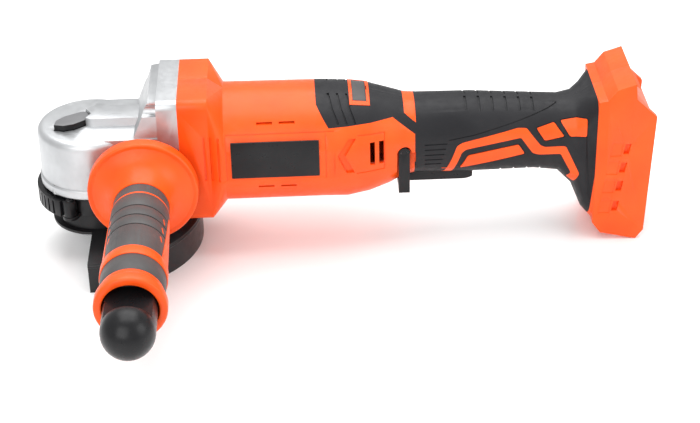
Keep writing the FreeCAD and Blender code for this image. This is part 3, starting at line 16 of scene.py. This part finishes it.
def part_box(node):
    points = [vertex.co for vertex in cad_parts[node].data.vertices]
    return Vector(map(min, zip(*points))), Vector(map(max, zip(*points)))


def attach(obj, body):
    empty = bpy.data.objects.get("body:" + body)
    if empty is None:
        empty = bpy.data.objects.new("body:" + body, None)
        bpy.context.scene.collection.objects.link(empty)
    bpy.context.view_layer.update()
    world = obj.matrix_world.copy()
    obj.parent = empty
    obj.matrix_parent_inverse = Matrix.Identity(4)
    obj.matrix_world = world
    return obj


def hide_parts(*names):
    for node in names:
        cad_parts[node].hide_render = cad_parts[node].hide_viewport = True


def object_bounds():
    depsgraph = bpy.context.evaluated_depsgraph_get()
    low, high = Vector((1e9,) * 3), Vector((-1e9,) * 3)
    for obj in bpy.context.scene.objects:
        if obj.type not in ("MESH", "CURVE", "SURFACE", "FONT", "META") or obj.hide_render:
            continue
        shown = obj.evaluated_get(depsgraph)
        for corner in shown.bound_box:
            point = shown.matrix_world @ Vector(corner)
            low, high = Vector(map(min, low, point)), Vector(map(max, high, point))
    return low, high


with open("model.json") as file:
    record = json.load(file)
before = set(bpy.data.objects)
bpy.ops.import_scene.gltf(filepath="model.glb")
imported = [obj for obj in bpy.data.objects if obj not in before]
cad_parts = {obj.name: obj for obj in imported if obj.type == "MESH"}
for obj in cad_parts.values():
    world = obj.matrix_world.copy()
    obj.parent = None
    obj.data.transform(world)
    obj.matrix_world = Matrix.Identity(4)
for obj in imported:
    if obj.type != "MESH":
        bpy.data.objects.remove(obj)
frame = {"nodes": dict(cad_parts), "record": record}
cad_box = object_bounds()

MM = 0.001
STEP = 1.6 * MM           # grid that a draped shape follows its skin with
CUT_LIFT = 1 * MM         # height of a cutter above the skin that it cuts
ANGLE_STEP = 0.05         # the grid's step along an angle, in radians
RAY_START = 0.12          # metres from the tool's middle to where a ray to its skin starts
RAY_NEAR = 0.09           # metres along a ray that met nothing to where the skin is sought
NODES = frame["nodes"]
NODE_BODY = {name: body for body, names in frame["record"]["behaviour"]["bodies"].items()
             for name in names}
NODE_SLOT = {part["node"]: part["material_slot"] for part in frame["record"]["subparts"]}
can_low, can_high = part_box("motor_can")
AXIS_UP = (can_low.z + can_high.z) / 2
LEFT, RIGHT = -1, 1
SIDE_NAMES = {LEFT: "left", RIGHT: "right"}


# ---------------------------------------------------------------- materials
def new_material(name):
    """An empty node material and its shader."""
    material = bpy.data.materials.new(name)
    material.use_nodes = True
    tree = material.node_tree
    return material, tree, tree.nodes["Principled BSDF"]


def noise(tree, scale, detail=3.0):
    """A noise texture on the object's own coordinates, scale in features per metre."""
    where = tree.nodes.new("ShaderNodeTexCoord")
    texture = tree.nodes.new("ShaderNodeTexNoise")
    texture.inputs["Scale"].default_value = scale
    texture.inputs["Detail"].default_value = detail
    tree.links.new(where.outputs["Object"], texture.inputs["Vector"])
    return texture.outputs["Fac"]


def ramp(tree, value, low, high, start=0.3, end=0.7):
    """Colours from low to high as value goes from start to end."""
    mapping = tree.nodes.new("ShaderNodeValToRGB")
    mapping.color_ramp.elements[0].position = start
    mapping.color_ramp.elements[1].position = end
    mapping.color_ramp.elements[0].color = (*low, 1)
    mapping.color_ramp.elements[1].color = (*high, 1)
    tree.links.new(value, mapping.inputs["Fac"])
    return mapping.outputs["Color"]


def spread(tree, value, low, high):
    """value mapped from 0.3..0.7 to low..high."""
    mapping = tree.nodes.new("ShaderNodeMapRange")
    mapping.inputs["From Min"].default_value = 0.3
    mapping.inputs["From Max"].default_value = 0.7
    mapping.inputs["To Min"].default_value = low
    mapping.inputs["To Max"].default_value = high
    tree.links.new(value, mapping.inputs["Value"])
    return mapping.outputs["Result"]


def bump(tree, shader, value, distance):
    """Relief of that depth, in metres, where value is noise from 0 to 1."""
    relief = tree.nodes.new("ShaderNodeBump")
    relief.inputs["Distance"].default_value = distance
    relief.inputs["Strength"].default_value = 1.0
    tree.links.new(value, relief.inputs["Height"])
    tree.links.new(relief.outputs["Normal"], shader.inputs["Normal"])


def surface(name, dark, light, rough, grain, relief, metallic=0.0, patch=45, specular=0.5):
    """Colour that drifts from dark to light over patches, uneven gloss and a fine grain."""
    material, tree, shader = new_material(name)
    drift = noise(tree, patch)
    tree.links.new(ramp(tree, drift, dark, light), shader.inputs["Base Color"])
    gloss = noise(tree, patch * 6)
    tree.links.new(spread(tree, gloss, rough[0], rough[1]), shader.inputs["Roughness"])
    bump(tree, shader, noise(tree, grain, 4.0), relief)
    shader.inputs["Metallic"].default_value = metallic
    shader.inputs["Specular IOR Level"].default_value = specular
    return material


def orange_plastic():
    return surface("orange_plastic", (0.86, 0.078, 0.006), (0.94, 0.098, 0.009),
                   (0.30, 0.42), 1900, 0.00003, specular=0.28)


def black_rubber():
    return surface("black_rubber", (0.010, 0.010, 0.012), (0.017, 0.017, 0.019),
                   (0.42, 0.56), 2400, 0.00006, specular=0.22)


def grey_rubber():
    return surface("grey_rubber", (0.058, 0.055, 0.055), (0.078, 0.074, 0.073),
                   (0.42, 0.54), 2400, 0.00005, specular=0.35)


def black_plastic():
    return surface("black_plastic", (0.006, 0.006, 0.007), (0.011, 0.011, 0.012),
                   (0.26, 0.38), 2100, 0.00003, specular=0.25)


def cast_metal():
    return surface("cast_metal", (0.46, 0.47, 0.48), (0.56, 0.57, 0.58),
                   (0.36, 0.48), 1700, 0.00004, metallic=0.85)


def steel():
    return surface("steel", (0.50, 0.50, 0.51), (0.62, 0.62, 0.63),
                   (0.22, 0.34), 3000, 0.00001, metallic=1.0)


def bronze():
    return surface("bronze", (0.60, 0.38, 0.16), (0.70, 0.46, 0.21),
                   (0.28, 0.42), 2600, 0.00002, metallic=1.0)


def copper():
    return surface("copper", (0.62, 0.24, 0.11), (0.74, 0.31, 0.15),
                   (0.25, 0.38), 2600, 0.00002, metallic=1.0)


def lamination():
    return surface("lamination", (0.26, 0.26, 0.28), (0.36, 0.36, 0.38),
                   (0.35, 0.50), 2600, 0.00002, metallic=1.0)


def magnet():
    return surface("magnet", (0.05, 0.05, 0.055), (0.08, 0.08, 0.085),
                   (0.55, 0.70), 2600, 0.00004)


def carbon():
    return surface("carbon", (0.025, 0.025, 0.026), (0.045, 0.045, 0.046),
                   (0.50, 0.62), 2600, 0.00003)


def button_grey():
    return surface("button_grey", (0.13, 0.13, 0.135), (0.17, 0.17, 0.175),
                   (0.32, 0.45), 2200, 0.00003, specular=0.3)


def board():
    return surface("board", (0.012, 0.10, 0.035), (0.02, 0.14, 0.05),
                   (0.30, 0.45), 1500, 0.00002)


def lead_red():
    return surface("lead_red", (0.45, 0.02, 0.015), (0.55, 0.03, 0.02),
                   (0.38, 0.48), 1500, 0.00002)


def black_paint():
    return surface("black_paint", (0.008, 0.008, 0.009), (0.012, 0.012, 0.013),
                   (0.30, 0.38), 2600, 0.000006, specular=0.3)


MATERIALS = {make.__name__: make() for make in (
    orange_plastic, black_rubber, grey_rubber, black_plastic, cast_metal, steel, bronze,
    copper, lamination, magnet, carbon, button_grey, board, lead_red, black_paint)}


# ---------------------------------------------------------------- mesh tools
def add_piece(name, mesh, slot, body, replaced=()):
    """A new piece with a record slot's finish, riding on a CAD body."""
    piece = bpy.data.objects.new(name, mesh)
    bpy.context.scene.collection.objects.link(piece)
    mesh.materials.clear()
    mesh.materials.append(MATERIALS[slot])
    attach(piece, body)
    if replaced:
        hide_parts(*replaced)
    return piece


def smooth(mesh, limit=math.radians(32)):
    """Shades a mesh smooth, with creases where its faces meet at more than the limit."""
    for polygon in mesh.polygons:
        polygon.use_smooth = True
    work = bmesh.new()
    work.from_mesh(mesh)
    for edge in work.edges:
        edge.smooth = len(edge.link_faces) == 2 and edge.calc_face_angle(0.0) < limit
    work.to_mesh(mesh)
    work.free()


def apply_modifiers(piece):
    """Replaces the piece's mesh with what its modifiers make of it."""
    bpy.context.view_layer.update()
    evaluated = piece.evaluated_get(bpy.context.evaluated_depsgraph_get())
    mesh = bpy.data.meshes.new_from_object(evaluated)
    piece.modifiers.clear()
    piece.data = mesh


def loose_object(name, mesh):
    """An object in the scene that rides on no body."""
    item = bpy.data.objects.new(name, mesh)
    bpy.context.scene.collection.objects.link(item)
    return item


def mesh_from(work, name):
    """Turns a finished bmesh into a mesh whose faces all look outwards."""
    bmesh.ops.recalc_face_normals(work, faces=work.faces[:])
    mesh = bpy.data.meshes.new(name)
    work.to_mesh(mesh)
    work.free()
    return mesh


def cad_copy(node):
    """A node's mesh with its split vertices joined and its flat faces made whole."""
    work = bmesh.new()
    work.from_mesh(NODES[node].data)
    bmesh.ops.remove_doubles(work, verts=work.verts[:], dist=0.002 * MM)
    bmesh.ops.dissolve_limit(work, angle_limit=math.radians(0.6), verts=work.verts[:],
                             edges=work.edges[:])
    mesh = bpy.data.meshes.new(node)
    work.to_mesh(mesh)
    work.free()
    return mesh


def round_edges(piece, width, sharper_than):
    """Bevels the edges sharper than an angle in degrees, and shades the piece smooth."""
    rounding = piece.modifiers.new("rounding", "BEVEL")
    rounding.width = width
    rounding.segments = 2
    rounding.limit_method = "ANGLE"
    rounding.angle_limit = math.radians(sharper_than)
    apply_modifiers(piece)
    smooth(piece.data)


def volume(mesh):
    """The volume that a closed mesh holds."""
    work = bmesh.new()
    work.from_mesh(mesh)
    inside = abs(work.calc_volume())
    work.free()
    return inside


# the shares of its volume that a piece can have left after a shallow groove
LEAST_LEFT, MOST_LEFT = 0.96, 1.004


def carve(piece, shape):
    """Cuts a groove. Takes it back, and says so, if it took more than a shallow groove can."""
    before, held = piece.data.copy(), volume(piece.data)
    cutter = loose_object("cutter", shape)
    carving = piece.modifiers.new("carving", "BOOLEAN")
    carving.operation = "DIFFERENCE"
    carving.solver = "EXACT"
    carving.object = cutter
    apply_modifiers(piece)
    bpy.data.objects.remove(cutter)
    left = volume(piece.data)
    if not LEAST_LEFT * held < left < MOST_LEFT * held:
        piece.data = before
        print("cut taken back on", piece.name)


def refined(node, bevel, cutters=()):
    """A detailed piece that stands for a node: its grooves cut and its edges rounded."""
    mesh = cad_copy(node)
    piece = add_piece(node + "_finished", mesh, NODE_SLOT[node], NODE_BODY[node], (node,))
    for shape in cutters:
        carve(piece, shape)
    round_edges(piece, bevel, 34)
    return piece


def surface_of(*nodes):
    """The outer surface of some nodes, to drape details on."""
    corners, faces = [], []
    for node in nodes:
        first = len(corners)
        data = NODES[node].data
        corners += [vertex.co.copy() for vertex in data.vertices]
        faces += [[first + i for i in polygon.vertices] for polygon in data.polygons]
    return BVHTree.FromPolygons(corners, faces)


def rounded(points, radius, steps=4):
    """An outline whose corners are curves."""
    outline = []
    for index, corner in enumerate(points):
        corner = Vector(corner)
        before = Vector(points[index - 1]) - corner
        after = Vector(points[(index + 1) % len(points)]) - corner
        reach = min(radius, 0.45 * before.length, 0.45 * after.length)
        start = corner + before.normalized() * reach
        end = corner + after.normalized() * reach
        for step in range(steps + 1):
            t = step / steps
            outline.append((1 - t) ** 2 * start + 2 * t * (1 - t) * corner + t * t * end)
    return outline


def stroke(points, width):
    """The outline of a line of that width along some points."""
    points = [Vector(point) for point in points]
    near, far = [], []
    for index, point in enumerate(points):
        before = point - points[index - 1] if index else points[1] - point
        after = points[index + 1] - point if index < len(points) - 1 else before
        tangent = (before.normalized() + after.normalized()).normalized()
        normal = Vector((-tangent.y, tangent.x))
        stretch = 1 / max(0.5, normal.dot(Vector((-after.y, after.x)).normalized()))
        near.append(point + normal * width / 2 * stretch)
        far.append(point - normal * width / 2 * stretch)
    return near + far[::-1]


def grown(points, margin):
    """An outline moved outwards by a margin."""
    points = [Vector(point) for point in points]
    area = sum(points[i - 1].x * p.y - p.x * points[i - 1].y for i, p in enumerate(points))
    turn = 1 if area > 0 else -1
    outline = []
    for index, point in enumerate(points):
        before = (point - points[index - 1]).normalized()
        after = (points[(index + 1) % len(points)] - point).normalized()
        first = Vector((before.y, -before.x)) * turn
        second = Vector((after.y, -after.x)) * turn
        middle = (first + second).normalized()
        outline.append(point + middle * margin / max(0.5, middle.dot(first)))
    return outline


def seen_from_side(side):
    """Maps (X, height above the motor axis) to a ray from one side."""
    def ray(u, v):
        return Vector((u, side * RAY_START, AXIS_UP + v)), Vector((0, -side, 0))
    return ray


def seen_around(side):
    """Maps (X, angle from straight up) to a ray towards the motor axis."""
    def ray(u, v):
        outward = Vector((0, side * math.sin(v), math.cos(v)))
        return Vector((u, 0, AXIS_UP)) + outward * RAY_START, -outward
    return ray


def draped(outline, ray, skin, lift, depth, step_v=STEP):
    """A closed shape whose top follows a skin: from lift above it to depth below it."""
    work = bmesh.new()
    corners = [work.verts.new((point[0], point[1], 0)) for point in outline]
    whole = work.faces.new(corners)
    bmesh.ops.triangulate(work, faces=[whole], ngon_method="EAR_CLIP")
    for axis, pace in ((0, STEP), (1, step_v)):
        low = min(point[axis] for point in outline)
        high = max(point[axis] for point in outline)
        normal = Vector((1, 0, 0)) if axis == 0 else Vector((0, 1, 0))
        for count in range(1, int((high - low) / pace) + 1):
            bmesh.ops.bisect_plane(work, geom=work.verts[:] + work.edges[:] + work.faces[:],
                                   plane_co=normal * (low + count * pace), plane_no=normal,
                                   dist=0.001 * MM)
    feet = {}
    for vertex in work.verts:
        start, way = ray(vertex.co.x, vertex.co.y)
        point, normal, _, _ = skin.ray_cast(start, way)
        if point is None:
            point, normal, _, _ = skin.find_nearest(start + way * RAY_NEAR)
        if normal.dot(way) > 0:
            normal = -normal
        feet[vertex] = (point + normal * lift, point - normal * depth)
    made = bmesh.ops.extrude_face_region(work, geom=work.faces[:], use_keep_orig=True)
    upper = [item for item in made["geom"] if isinstance(item, bmesh.types.BMVert)]
    keys = {}
    for vertex in feet:
        keys[(round(vertex.co.x, 7), round(vertex.co.y, 7))] = vertex
    for vertex in upper:
        original = keys[(round(vertex.co.x, 7), round(vertex.co.y, 7))]
        vertex.co = feet[original][0]
    for vertex, (_, foot) in feet.items():
        vertex.co = foot
    return mesh_from(work, "draped")


def orange_patch(name, outline, ray, skin, lift, depth, bevel=0.15 * MM):
    """A thin raised orange field on a skin of the casing, with rounded edges."""
    piece = add_piece(name, draped(outline, ray, skin, lift, depth), "orange_plastic", "casing")
    round_edges(piece, bevel, 50)


def millimetres(points):
    """Points given in millimetres: (X, height above the motor axis)."""
    return [(x * MM, z * MM) for x, z in points]


# ---------------------------------------------------------------- housing
LOUVRES = [(329.8, 2), (328, -11), (326.4, -24), (324.6, -38.4)]
CHEVRON = [(151.4, 5.2), (158.3, 15), (163, 15), (156.2, 4.8), (161.9, -7), (156.9, -7)]


def housing_cutters(side):
    """Grooves and recesses in one half of the motor housing."""
    skin = surface_of("housing_" + SIDE_NAMES[side])
    ray = seen_from_side(side)
    cutters = [draped(rounded(millimetres(CHEVRON), 0.4 * MM), ray, skin, CUT_LIFT,
                       1.7 * MM)]
    for x in (71, 75, 79.6):
        line = millimetres([(x, -10), (x, 20)])
        cutters.append(draped(stroke(line, 1.3 * MM), ray, skin, CUT_LIFT, 0.9 * MM))
    panel_line = millimetres([(84, 20), (150, 20)])
    cutters.append(draped(stroke(panel_line, 0.5 * MM), ray, skin, CUT_LIFT, 0.35 * MM))
    frame_line = millimetres([(164, 16.4), (180.4, 16), (180.4, -7.4), (163.2, -8)])
    cutters.append(draped(stroke(frame_line, 0.6 * MM), ray, skin, CUT_LIFT, 0.4 * MM))
    for x in (84, 144.5):
        line = millimetres([(x, -9), (x, 19)])
        cutters.append(draped(stroke(line, 0.5 * MM), ray, skin, CUT_LIFT, 0.35 * MM))
    for x, height in LOUVRES:
        slot = [(x - 1, height), (x + 2.6, height), (x + 1.4, height - 7), (x - 2.2, height - 7)]
        cutters.append(draped(millimetres(slot), ray, skin, CUT_LIFT, 2.4 * MM))
        bed = [(x - 9, height + 1), (x - 2, height + 1), (x - 3.2, height - 8.4),
               (x - 10.2, height - 8.4)]
        cutters.append(draped(millimetres(bed), ray, skin, CUT_LIFT, 0.35 * MM))
    return cutters


ZIGZAG = [(216, -23.5), (217.5, -20.5), (225.5, 2.2), (229, 4.3), (263, 12), (268.5, 11.6),
          (277.5, -0.4), (280.2, -1.4), (293, -1.2), (301.8, -20), (298.8, -27.8),
          (294.6, -24.6), (296.9, -20), (290, -6.5), (276.5, -6.6), (272.6, -5.4),
          (265, 5.8), (231, -0.6), (228.3, -2.8), (222.5, -20.5), (221.5, -24)]
LOW_BAR = [(227.6, -15), (232.4, -5), (263.6, 1), (267.6, -5.4)]
QUADS = [[(274.6, 11.2), (285.4, 14.2), (291.8, 5.6), (279.8, 3)],
         [(289.4, 14.8), (305, 18.2), (305, 6.6), (295.4, 5.6)]]


def grip_ornaments(side):
    """Orange fields on one side of the grip."""
    skin = surface_of("overmould_" + SIDE_NAMES[side])
    ray = seen_from_side(side)
    fields = [("grip_stripe", ZIGZAG), ("grip_bar", LOW_BAR), ("grip_field_1", QUADS[0]),
              ("grip_field_2", QUADS[1])]
    cutters = []
    for name, points in fields:
        outline = rounded(millimetres(points), 1.2 * MM)
        cutters.append(draped(grown(outline, 0.5 * MM), ray, skin, CUT_LIFT, 0.7 * MM))
        orange_patch("%s_%s" % (name, SIDE_NAMES[side]), outline, ray, skin, 0.15 * MM,
                     1.0 * MM)
    return cutters


def grip_grooves(side):
    """Fine grooves in one side of the rubber: the saddle, the thumb pad and the grip's back."""
    skin = surface_of("overmould_" + SIDE_NAMES[side])
    ray = seen_from_side(side)
    around = seen_around(side)
    cutters = []
    for index in range(3):
        line = [((147 + 5.6 * index) * MM, math.radians(14)),
                ((149 + 5.4 * index) * MM, math.radians(34)),
                ((152.5 + 5.2 * index) * MM, math.radians(50))]
        cutters.append(draped(stroke_around(line, 1.3 * MM, 33 * MM), around, skin,
                              CUT_LIFT, 0.8 * MM, ANGLE_STEP))
    for index in range(6):
        x = (231.5 + 8.3 * index) * MM
        line = [(x, 0.06), (x, math.radians(32))]
        cutters.append(draped(stroke_around(line, 1.5 * MM, 24 * MM), around, skin,
                              CUT_LIFT, 0.8 * MM, ANGLE_STEP))
    for index in range(4):
        x = (254 + 8.3 * index) * MM
        line = [(x, math.radians(140)), (x, 3.08)]
        cutters.append(draped(stroke_around(line, 1.6 * MM, 24 * MM), around, skin,
                              CUT_LIFT, 0.8 * MM, ANGLE_STEP))
    edge = millimetres([(220.5, 6.5), (236, 9), (252, 13), (268, 17), (280, 20), (288, 22)])
    cutters.append(draped(stroke(edge, 0.5 * MM), ray, skin, CUT_LIFT, 0.5 * MM))
    for index in range(5):
        height = 4.2 - 3.6 * index
        line = millimetres([(205.5, height), (219.5 - 0.9 * index, height)])
        cutters.append(draped(stroke(line, 0.9 * MM), ray, skin, CUT_LIFT, 0.5 * MM))
    return cutters


def stroke_around(points, width, radius):
    """A line of that width whose second coordinate is an angle at about that radius."""
    flat = [(x, angle * radius) for x, angle in points]
    return [(point.x, point.y / radius) for point in stroke(flat, width)]


def finish_housing():
    """Both halves of the housing and of the rubber, with their grooves and orange fields."""
    for side, name in SIDE_NAMES.items():
        refined("housing_" + name, 0.35 * MM, housing_cutters(side))
        cutters = grip_grooves(side) + grip_ornaments(side)
        refined("overmould_" + name, 0.3 * MM, cutters)


finish_housing()

# ---------------------------------------------------------------- handle, lever and button
handle_low, handle_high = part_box("handle_grip")
HANDLE_X = (handle_low.x + handle_high.x) / 2
HANDLE_UP = (handle_low.z + handle_high.z) / 2


def seen_around_handle(u, v):
    """Maps (distance along the handle, angle from straight up) to a ray to its axis."""
    outward = Vector((math.sin(v), 0, math.cos(v)))
    return Vector((HANDLE_X, -u, HANDLE_UP)) + outward * 0.06, -outward


LATHE_TURNS = 96


def lathed(profile):
    """A ring about the handle's axis, from (distance along the handle, radius) corners in mm."""
    work = bmesh.new()
    rings = []
    for step in range(LATHE_TURNS):
        angle = 2 * math.pi * step / LATHE_TURNS
        rings.append([work.verts.new((HANDLE_X + radius * MM * math.sin(angle), -along * MM,
                                      HANDLE_UP + radius * MM * math.cos(angle)))
                      for along, radius in profile])
    for step in range(LATHE_TURNS):
        here, after = rings[step], rings[(step + 1) % LATHE_TURNS]
        for corner in range(len(profile)):
            beside = (corner + 1) % len(profile)
            work.faces.new((here[corner], here[beside], after[beside], after[corner]))
    return mesh_from(work, "lathed")


def finish_handle():
    """Grooves round the pad, an orange strip on each side and a small slit past each groove."""
    pad_r = (handle_high.x - handle_low.x) / 2 / MM
    low_r, high_r, half_wide = pad_r - 1.9, pad_r + 2, 0.55
    grooves = []
    for index in range(3):
        middle = 94 + 10.6 * index
        grooves.append(lathed([(middle + half_wide, low_r), (middle + half_wide, high_r),
                               (middle - half_wide, high_r), (middle - half_wide, low_r)]))
    refined("handle_grip", 0.3 * MM, grooves)
    skin = surface_of("handle_grip")
    for side, name in SIDE_NAMES.items():
        front, rear = 88 * MM, 144.6 * MM
        strip = [(front, side * math.radians(80)), (rear, side * math.radians(58)),
                 (rear, side * math.radians(118)), (front, side * math.radians(100))]
        orange_patch("handle_strip_" + name, strip, seen_around_handle, skin, 0.35 * MM,
                     0.6 * MM)
        for index in range(3):
            along = (98 + 10.6 * index) * MM
            angle = side * math.radians(58 - 3 * index)
            slit = [(along, angle), (along + 4.5 * MM, angle + side * 0.07),
                    (along + 4.5 * MM, angle + side * 0.12), (along, angle + side * 0.05)]
            orange_patch("handle_slit_%s_%d" % (name, index + 1), slit, seen_around_handle,
                         skin, 0.15 * MM, 0.5 * MM, bevel=0.05 * MM)


def finish_shield():
    """The shield's trumpet along the handle's neck, and the orange band at the pad's end."""
    flare = [(51.0, 30.5), (51.9, 28.2), (53.4, 25.4), (55.6, 22.6), (58.6, 20.2), (62, 18.5),
             (66, 17.4), (68.6, 17.1), (68.6, 16.2), (51.0, 16.2)]
    band = [(139.4, 17.2), (139.4, 18.85), (140, 19.1), (146.9, 19.1), (147.6, 18.85),
            (147.6, 17.2)]
    for name, profile in (("shield_flare", flare), ("handle_band", band)):
        piece = add_piece(name, lathed(profile), "orange_plastic", "casing")
        smooth(piece.data)


def finish_pin():
    """Black caps over the ends of the paddle's pin."""
    low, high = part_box("paddle_pin")
    ears_low, ears_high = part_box("paddle")
    radius = (high.x - low.x) / 2 - 0.05 * MM
    for side, name in SIDE_NAMES.items():
        work = bmesh.new()
        inner = high.y if side == RIGHT else -low.y
        outer = (ears_high.y if side == RIGHT else -ears_low.y) - 0.02 * MM
        middle = Vector(((low.x + high.x) / 2, side * (inner + outer) / 2,
                         (low.z + high.z) / 2))
        turn = Matrix.Rotation(math.radians(90), 4, "X")
        bmesh.ops.create_cone(work, cap_ends=True, segments=32, radius1=radius, radius2=radius,
                              depth=outer - inner, matrix=Matrix.Translation(middle) @ turn)
        add_piece("pin_cap_" + name, mesh_from(work, "cap"), "black_plastic", "casing")


def finish_lever():
    """Finger ribs on the guard lever's outside."""
    corners = [vertex.co for vertex in NODES["guard_lever"].data.vertices]
    reach = max(math.hypot(corner.x, corner.y) for corner in corners)
    low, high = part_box("guard_lever")
    cutters = []
    for index in range(11):
        angle = math.radians(158 + 7 * index)
        turn = Matrix.Rotation(angle, 4, "Z")
        work = bmesh.new()
        size = Matrix.Diagonal((2.2 * MM, 1.5 * MM, high.z - low.z - 1.6 * MM, 1))
        where = Matrix.Translation((reach, 0, (low.z + high.z) / 2))
        bmesh.ops.create_cube(work, size=1, matrix=turn @ where @ size)
        cutters.append(mesh_from(work, "rib_gap"))
    refined("guard_lever", 0.3 * MM, cutters)


def finish_button():
    """The lock button: a light cap over a black skirt."""
    button = refined("lock_button", 0.5 * MM)
    button.data.materials.append(MATERIALS["black_plastic"])
    for polygon in button.data.polygons:
        if abs(polygon.normal.z) < 0.5:
            polygon.material_index = 1


def finish_insert_frame():
    """An orange frame round the small cover on top."""
    skin = surface_of("overmould_left", "overmould_right", "top_insert")
    low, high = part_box("top_insert")
    edge = 1.9 * MM
    for side, name in SIDE_NAMES.items():
        inner = math.radians(24)
        outer = math.radians(29)
        outline = [(low.x - edge, 0), (low.x - edge, outer), (high.x + edge, outer),
                   (high.x + edge, 0), (high.x, 0), (high.x, inner), (low.x, inner), (low.x, 0)]
        orange_patch("insert_frame_" + name, outline, seen_around(side), skin, 0.35 * MM,
                     0.8 * MM)


finish_handle()
finish_shield()
finish_pin()
finish_lever()
finish_button()
finish_insert_frame()

# widths in millimetres of the rounded edges of the nodes that only need that
ROUNDINGS = {
    "gear_case": 0.7, "bearing_cover": 0.4, "nameplate_left": 0.25, "nameplate_right": 0.25,
    "wheel_guard": 0.3, "guard_band": 0.4, "paddle": 0.8, "handle_core": 0.4,
    "handle_end_ring": 0.8, "key_knob": 0.5, "top_insert": 0.4,
    "grip_band": 0.2, "terminal_block": 0.3, "flange_nut": 0.3, "inner_flange": 0.3,
    "lock_off_lever": 0.3,
}
for node_name, rounding_mm in ROUNDINGS.items():
    refined(node_name, rounding_mm * MM)

for node_name, item in NODES.items():
    item.data.materials.clear()
    item.data.materials.append(MATERIALS[NODE_SLOT[node_name]])


# ---------------------------------------------------------------- stage
def add_floor():
    """A light, slightly glossy floor under the tool's lowest point."""
    low, _ = cad_box
    floor_mesh = bpy.data.meshes.new("floor")
    work = bmesh.new()
    bmesh.ops.create_grid(work, x_segments=1, y_segments=1, size=4.0,
                          matrix=Matrix.Translation((0.15, 0, low[2])))
    work.to_mesh(floor_mesh)
    work.free()
    floor = loose_object("floor", floor_mesh)
    material, tree, shader = new_material("floor")
    tree.links.new(ramp(tree, noise(tree, 3), (0.93, 0.93, 0.93), (0.95, 0.95, 0.95)),
                   shader.inputs["Base Color"])
    shader.inputs["Roughness"].default_value = 0.16
    shader.inputs["Specular IOR Level"].default_value = 0.35
    floor_mesh.materials.append(material)


def add_light(name, at, towards, power, width):
    """A square area light, with its power in watts."""
    lamp = bpy.data.lights.new(name, "AREA")
    lamp.energy = power
    lamp.size = width
    item = bpy.data.objects.new(name, lamp)
    item.location = at
    item.rotation_euler = (Vector(towards) - Vector(at)).to_track_quat("-Z", "Y").to_euler()
    bpy.context.scene.collection.objects.link(item)


def add_lights():
    """A white surround and three soft boxes."""
    bpy.context.scene.view_settings.view_transform = "Standard"
    world = bpy.data.worlds.new("studio")
    world.use_nodes = True
    background = world.node_tree.nodes["Background"]
    background.inputs["Color"].default_value = (1, 1, 1, 1)
    background.inputs["Strength"].default_value = 0.75
    bpy.context.scene.world = world
    middle = (0.15, 0, 0.05)
    add_light("top_box", (0.12, 0.25, 1.1), middle, 16, 1.2)
    add_light("front_box", (-0.35, -1.2, 0.75), middle, 9, 1.0)
    add_light("side_box", (1.2, -0.5, 0.6), middle, 5, 0.8)


def add_camera():
    """Seen from the handle's side, from above, with a long lens."""
    pitch, heading, roll = math.radians(31.0), math.radians(2.057), math.radians(-1.102)
    forward = Vector((math.sin(heading) * math.cos(pitch), math.cos(heading) * math.cos(pitch),
                      -math.sin(pitch)))
    level = Vector((math.cos(heading), -math.sin(heading), 0))
    upward = level.cross(forward)
    across = math.cos(roll) * level + math.sin(roll) * upward
    upright = -math.sin(roll) * level + math.cos(roll) * upward
    data = bpy.data.cameras.new("camera")
    data.sensor_width = 36
    data.lens = 90.99
    camera = bpy.data.objects.new("camera", data)
    columns = Matrix((across, upright, -forward)).transposed()
    place = Matrix.Translation((0.12475, -0.97091, AXIS_UP + 0.52876))
    camera.matrix_world = place @ columns.to_4x4()
    bpy.context.scene.collection.objects.link(camera)
    bpy.context.scene.camera = camera


add_floor()
add_lights()
add_camera()
